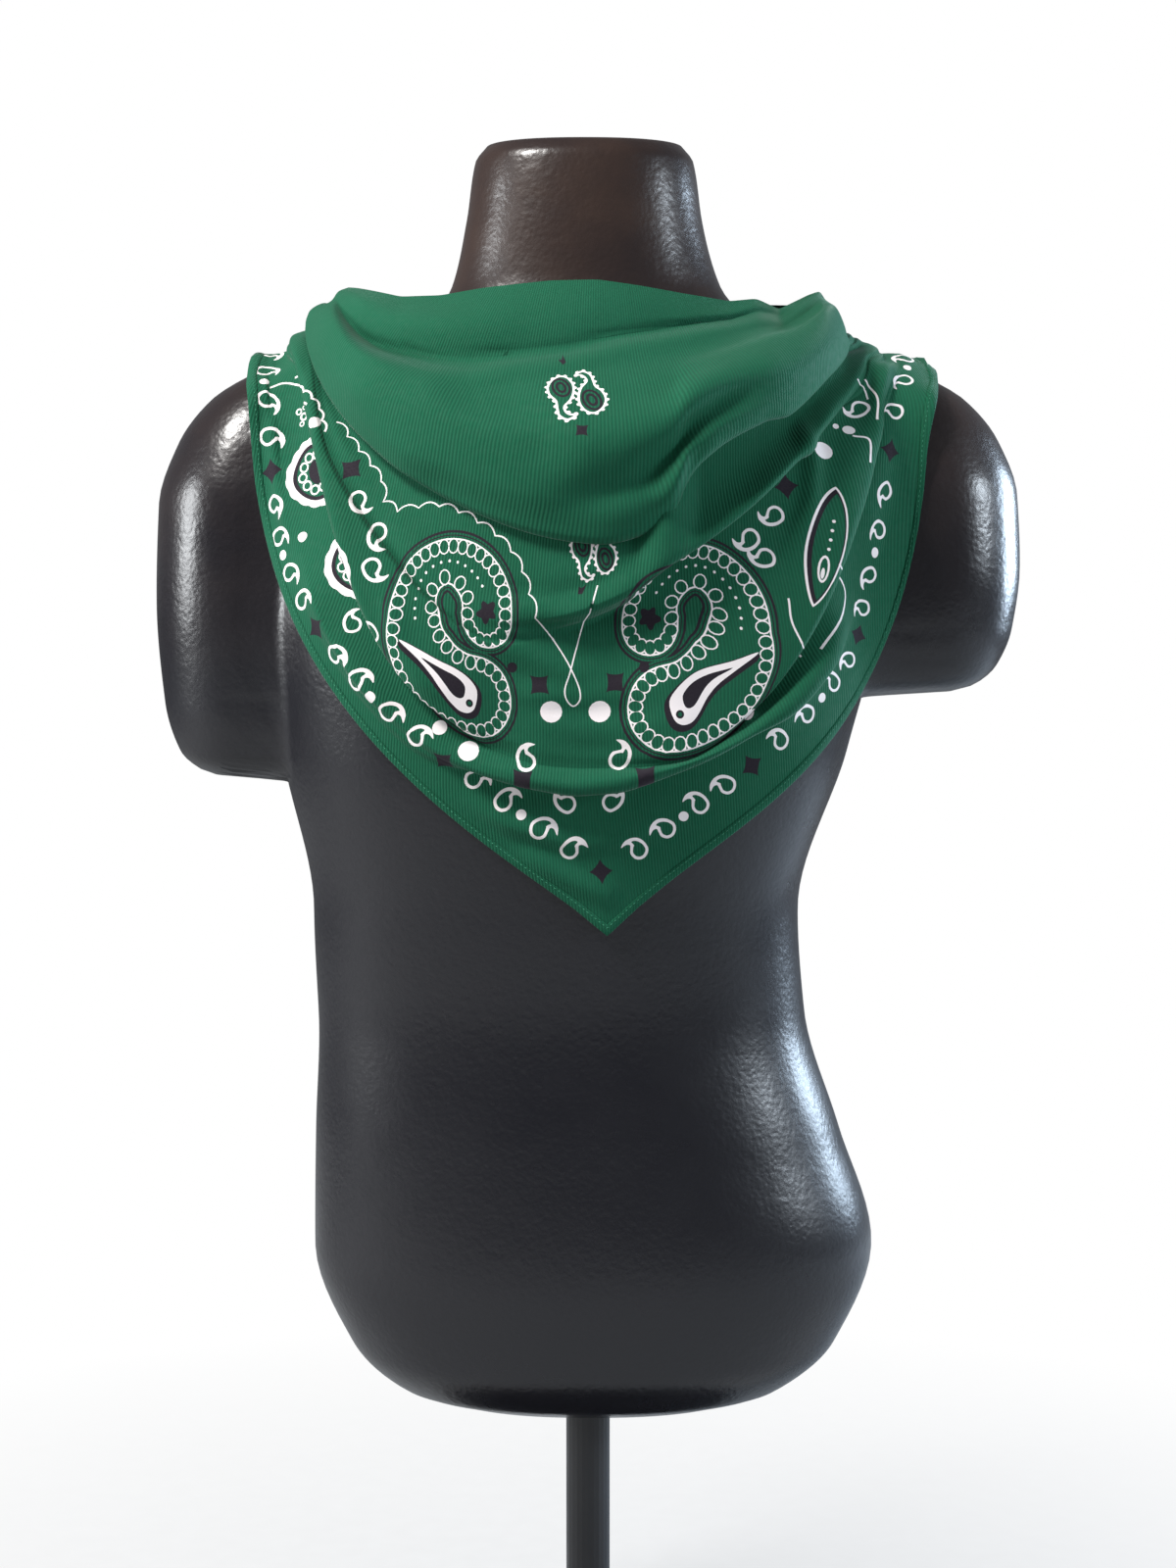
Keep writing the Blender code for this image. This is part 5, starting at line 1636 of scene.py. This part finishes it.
CORE_SECTIONS = (  # x, half depth, half height
    (-20, 5, 20),
    (-18, 8, 21.5),
    (-12, 10.5, 19),
    (-6, 10.5, 16.5),
    (6, 10.5, 16.5),
    (12, 10.5, 19),
    (18, 8, 21.5),
    (20, 5, 20),
)
CORE_GATHER_DEPTH = 0.7
CORE_TUCKS = ((0.65, 9, 0.05), (0.35, 17, -0.08))  # share of the depth, how many round it, winding
WRAP_HALF_WIDTH = 11.0
WRAP_THICKNESS = 5.0
WRAP_SLANT = 3.0
WRAP_FLARE, WRAP_FLARES_AT = 0.55, 6.0
WRAP_NARROWS = 0.14  # the share of its width it loses from the top to halfway down, and again below
KNOT_ROUND, WRAP_ROUND = 144, 56


def round_quads(rings, around):
    """The faces of a tube through that many rings, as numbers of its points."""
    number = np.arange(rings * around).reshape(rings, around)
    beside = np.roll(number, -1, axis=1)
    return np.stack([number[:-1], number[1:], beside[1:], beside[:-1]], axis=-1).reshape(-1, 4)


def ring_loft(name, rings, finish):
    """A closed body through rings of equal length, drawn together at both ends."""
    rings = np.array(rings)
    count, around = rings.shape[:2]
    low, high, last = count * around, count * around + 1, (count - 1) * around
    faces = round_quads(count, around).tolist()
    for j in range(around):
        k = (j + 1) % around
        faces += [(j, k, low), (last + k, last + j, high)]
    points = np.concatenate([rings.reshape(-1, 3), rings[0].mean(axis=0)[None], rings[-1].mean(axis=0)[None]])
    flat = np.stack(np.meshgrid(
        rings[..., 0].mean(axis=1), np.linspace(0, 150, around), indexing="ij"), axis=-1).reshape(-1, 2)
    return finish_mesh(name, points, faces, np.concatenate([flat, np.zeros((2, 2))]) * MM, finish)


knot_centre = np.array(KNOT_CENTRE)
turn = all_round(KNOT_ROUND)
core_x, core_deep, core_high = np.array(CORE_SECTIONS).T
rings = []
for x in np.linspace(-KNOT_HALF_WIDTH, KNOT_HALF_WIDTH, 61):
    deep, high = smooth_curve(x, core_x, core_deep), smooth_curve(x, core_x, core_high)
    folds = sum(share * np.cos(count * turn + winding * x) for share, count, winding in CORE_TUCKS)
    grow = 1 - CORE_GATHER_DEPTH / high * (1 + folds)
    rings.append(np.stack([
        np.full_like(turn, x), deep * grow * np.sin(turn), high * grow * np.cos(turn),
    ], axis=1) + knot_centre)
knot_core = ring_loft("knot_tucks", rings, green_cotton)
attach(knot_core, "root")
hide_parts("knot_core")

t, a = np.meshgrid(turn, all_round(WRAP_ROUND), indexing="ij")
side = WRAP_HALF_WIDTH * (1 - WRAP_NARROWS + WRAP_NARROWS * np.cos(t)) * np.cos(a)
flare = np.maximum(0.0, np.abs(side) - WRAP_FLARES_AT) * WRAP_FLARE
crease = 0.5 * np.sin(side * 1.1 + 0.8 * np.sin(t)) * np.maximum(np.sin(a), 0.0)
out = flare + WRAP_THICKNESS * (0.5 + 0.5 * np.sin(a)) * (1 - 0.02 * np.abs(side)) + crease
slant = WRAP_SLANT * np.cos(t) * np.sin(t / 2)
_, waist_deep, waist_high = CORE_SECTIONS[3]
out += NODE_GAP
points = knot_centre + np.stack([
    side + slant, (waist_deep + out) * np.sin(t), (waist_high + out) * np.cos(t)], axis=-1)
flat = np.stack([side, t * 15], axis=-1).reshape(-1, 2) * MM
# One more ring in the numbering than in the points joins the last ring to the first.
faces = round_quads(KNOT_ROUND + 1, WRAP_ROUND) % (KNOT_ROUND * WRAP_ROUND)
knot_band = finish_mesh("knot_band", points.reshape(-1, 3), faces.tolist(), flat, green_cotton)
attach(knot_band, "root")
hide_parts("knot_wrap")


# ---------------------------------------------------------------- the loose ends
# The two side corners of the square, which hang free below the knot and are gathered where they
# leave it. They show the border's print.

END_COLUMNS = ("share", "half_width", "gather")
END_SECTIONS = (
    (0.0, 8.0, 2.4),
    (0.12, 12.0, 2.6),
    (0.3, 18.0, 2.4),
    (0.45, 21.0, 1.8),
    (0.6, 18.0, 1.2),
    (0.75, 12.5, 0.8),
    (0.9, 6.0, 0.4),
    (1.0, 1.6, 0.0),
)
END_WAVES = 2.5
LOOSE_ENDS = (
    ("tail_left", "end_left", (-9.0, 106.0, 768.0), (-50.0, 116.0, 694.0)),
    ("tail_right", "end_right", (9.0, 106.0, 769.3), (43.0, 116.0, 687.0)),
)
END_PRINT = (  # motif, mm to the side, share of the length, turn, size, hand
    (hollow_diamond, 0.0, 0.8, 0.0, 4.6, 1),
    (small_paisley, -6.5, 0.66, 150.0, 0.62, 1),
    (small_paisley, 6.5, 0.66, -150.0, 0.62, -1),
    (dot, 0.0, 0.6, 0.0, 1.9, 1),
    (small_paisley, -11.0, 0.5, 160.0, 0.7, 1),
    (small_paisley, 10.5, 0.51, -160.0, 0.7, -1),
    (dot, 12.0, 0.38, 0.0, 1.9, 1),
    (dot, -12.5, 0.37, 0.0, 1.9, 1),
    (hollow_diamond, 0.5, 0.4, 20.0, 4.2, 1),
    (small_paisley, 6.0, 0.27, -140.0, 0.66, -1),
    (small_paisley, -7.0, 0.26, 150.0, 0.66, 1),
)
for tail_name, node, start, tip in LOOSE_ENDS:
    start, tip = np.array(start), np.array(tip)
    shares = np.linspace(0.0, 1.0, 49)
    across = np.linspace(-1.0, 1.0, 61)
    way = (tip - start) / np.linalg.norm(tip - start)
    side = np.cross(way, np.array([0.0, 1.0, 0.0]))
    side /= np.linalg.norm(side)
    out = np.cross(side, way)
    out *= np.sign(out[1])
    places = column(END_SECTIONS, END_COLUMNS, "share")
    half = smooth_curve(shares, places, column(END_SECTIONS, END_COLUMNS, "half_width"))
    gather = smooth_curve(shares, places, column(END_SECTIONS, END_COLUMNS, "gather"))
    wave = np.sin(across * math.pi * END_WAVES)
    grid = (
        start + (tip - start) * shares[:, None, None]
        + side * (half[:, None] * across[None, :])[..., None]
        + out * (gather[:, None] * wave[None, :])[..., None]
    )
    grid = rest_on_form(grid, CLOTH_CLEARANCE)
    normals = ways_out(grid)
    tail_print = []
    for motif, aside, share, turn, size, hand in END_PRINT:
        for ink, loop in motif(size):
            loop = turned(loop * (hand, 1), turn)[::hand] + (aside, 0.0)
            down_at = share + loop[:, 1] / np.linalg.norm(tip - start)
            wide_at = loop[:, 0] / np.interp(down_at, shares, half)
            places = np.stack([down_at * (len(shares) - 1), (wide_at + 1) / 2 * (len(across) - 1)], axis=1)
            tail_print.append((ink, kept_inside(places, len(shares), len(across))))
    tail = add_printed_cloth(tail_name, tail_print, grid, normals, paced(grid) * MM, printed_finishes)
    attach(tail, "root")
    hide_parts(node)


# ---------------------------------------------------------------- the floor, the light and the camera
# A plain pale studio floor that runs out into an even white, lit by large soft lights from both
# sides. The camera stands in front, a little above the middle of the chest.

FLOOR_WHITE = (0.38, 0.38, 0.38)
bpy.ops.object.select_all(action="DESELECT")
bpy.ops.mesh.primitive_circle_add(vertices=96, radius=30.0, fill_type="NGON", location=(0, 0, 0))
floor = bpy.context.active_object
floor.name = floor.data.name = "studio_floor"
pale, tree, shader = new_finish("pale_floor", FLOOR_WHITE, 0.9)
place = object_place(tree)
gradient = tree.nodes.new("ShaderNodeVectorMath")
gradient.operation = "LENGTH"
tree.links.new(place, gradient.inputs[0])
speck = add_noise(tree, place, 60.0, 4.0)
tree.links.new(add_blend(
    tree, add_range(tree, speck, 0.3, 0.7, 0.0, 1.0), (0.36, 0.36, 0.36), (0.40, 0.40, 0.40),
), shader.inputs["Base Color"])
far_off = add_range(tree, gradient.outputs["Value"], 0.12, 0.8, 0.6, 1.0)
glow = tree.nodes.new("ShaderNodeEmission")
glow.inputs["Color"].default_value = (1.0, 1.0, 1.0, 1.0)
glow.inputs["Strength"].default_value = 1.0
both = tree.nodes.new("ShaderNodeMixShader")
path = tree.nodes.new("ShaderNodeLightPath")
tree.links.new(add_math(tree, "MULTIPLY", far_off, path.outputs["Is Camera Ray"]), both.inputs[0])
tree.links.new(shader.outputs[0], both.inputs[1])
tree.links.new(glow.outputs[0], both.inputs[2])
tree.links.new(both.outputs[0], tree.nodes["Material Output"].inputs["Surface"])
floor.data.materials.append(pale)

world = bpy.data.worlds.new("studio_air")
world.use_nodes = True
tree = world.node_tree
seen = tree.nodes["Background"]
seen.inputs["Color"].default_value = (1.0, 1.0, 1.0, 1.0)
lit = tree.nodes.new("ShaderNodeBackground")
lit.inputs["Color"].default_value = (0.93, 0.96, 1.0, 1.0)
lit.inputs["Strength"].default_value = 0.21
path = tree.nodes.new("ShaderNodeLightPath")
both = tree.nodes.new("ShaderNodeMixShader")
tree.links.new(path.outputs["Is Camera Ray"], both.inputs[0])
tree.links.new(lit.outputs[0], both.inputs[1])
tree.links.new(seen.outputs[0], both.inputs[2])
tree.links.new(both.outputs[0], tree.nodes["World Output"].inputs["Surface"])
bpy.context.scene.world = world
bpy.context.scene.view_settings.view_transform = "Standard"

LIGHTS = (  # name, place, aim, size, watts, colour
    ("key_softbox", (-1.25, -1.0, 2.25), (0.0, 0.0, 0.62), 0.5, 74.0, (1.0, 0.985, 0.96)),
    ("left_window", (-2.1, -0.45, 0.95), (0.0, 0.0, 0.55), 0.8, 34.0, (0.95, 0.98, 1.0)),
    ("right_window", (2.2, -0.75, 1.1), (0.0, 0.0, 0.6), 0.5, 36.0, (0.80, 0.90, 1.0)),
    ("cool_window", (1.6, 0.75, 0.8), (0.0, 0.0, 0.55), 0.8, 42.0, (0.66, 0.82, 1.0)),
)
for light_name, spot, aim, size, watts, tint in LIGHTS:
    bpy.ops.object.light_add(type="AREA", location=spot)
    lamp = bpy.context.active_object
    lamp.name = lamp.data.name = light_name
    lamp.data.shape = "DISK"
    lamp.data.size = size
    lamp.data.energy = watts
    lamp.data.color = tint
    lamp.rotation_euler = (Vector(aim) - Vector(spot)).to_track_quat("-Z", "Y").to_euler()

AIM = Vector((0.0, -60.0, 543.8)) * MM
CAMERA_DISTANCE = 1.5
CAMERA_ELEVATION = math.radians(5.0)
METRES_PER_PIXEL = 0.00053
IMAGE_HEIGHT = 1600
bpy.ops.object.camera_add(location=(0, 0, 0))
camera = bpy.context.active_object
camera.name = "front_camera"
back = Vector((0.0, -math.cos(CAMERA_ELEVATION), math.sin(CAMERA_ELEVATION)))
camera.location = AIM + back * CAMERA_DISTANCE
camera.rotation_euler = (-back).to_track_quat("-Z", "Y").to_euler()
camera.data.sensor_width = 36.0
camera.data.lens = 36.0 * CAMERA_DISTANCE / (IMAGE_HEIGHT * METRES_PER_PIXEL)
camera.data.clip_end = 100.0
bpy.context.scene.camera = camera

bpy.context.view_layer.update()
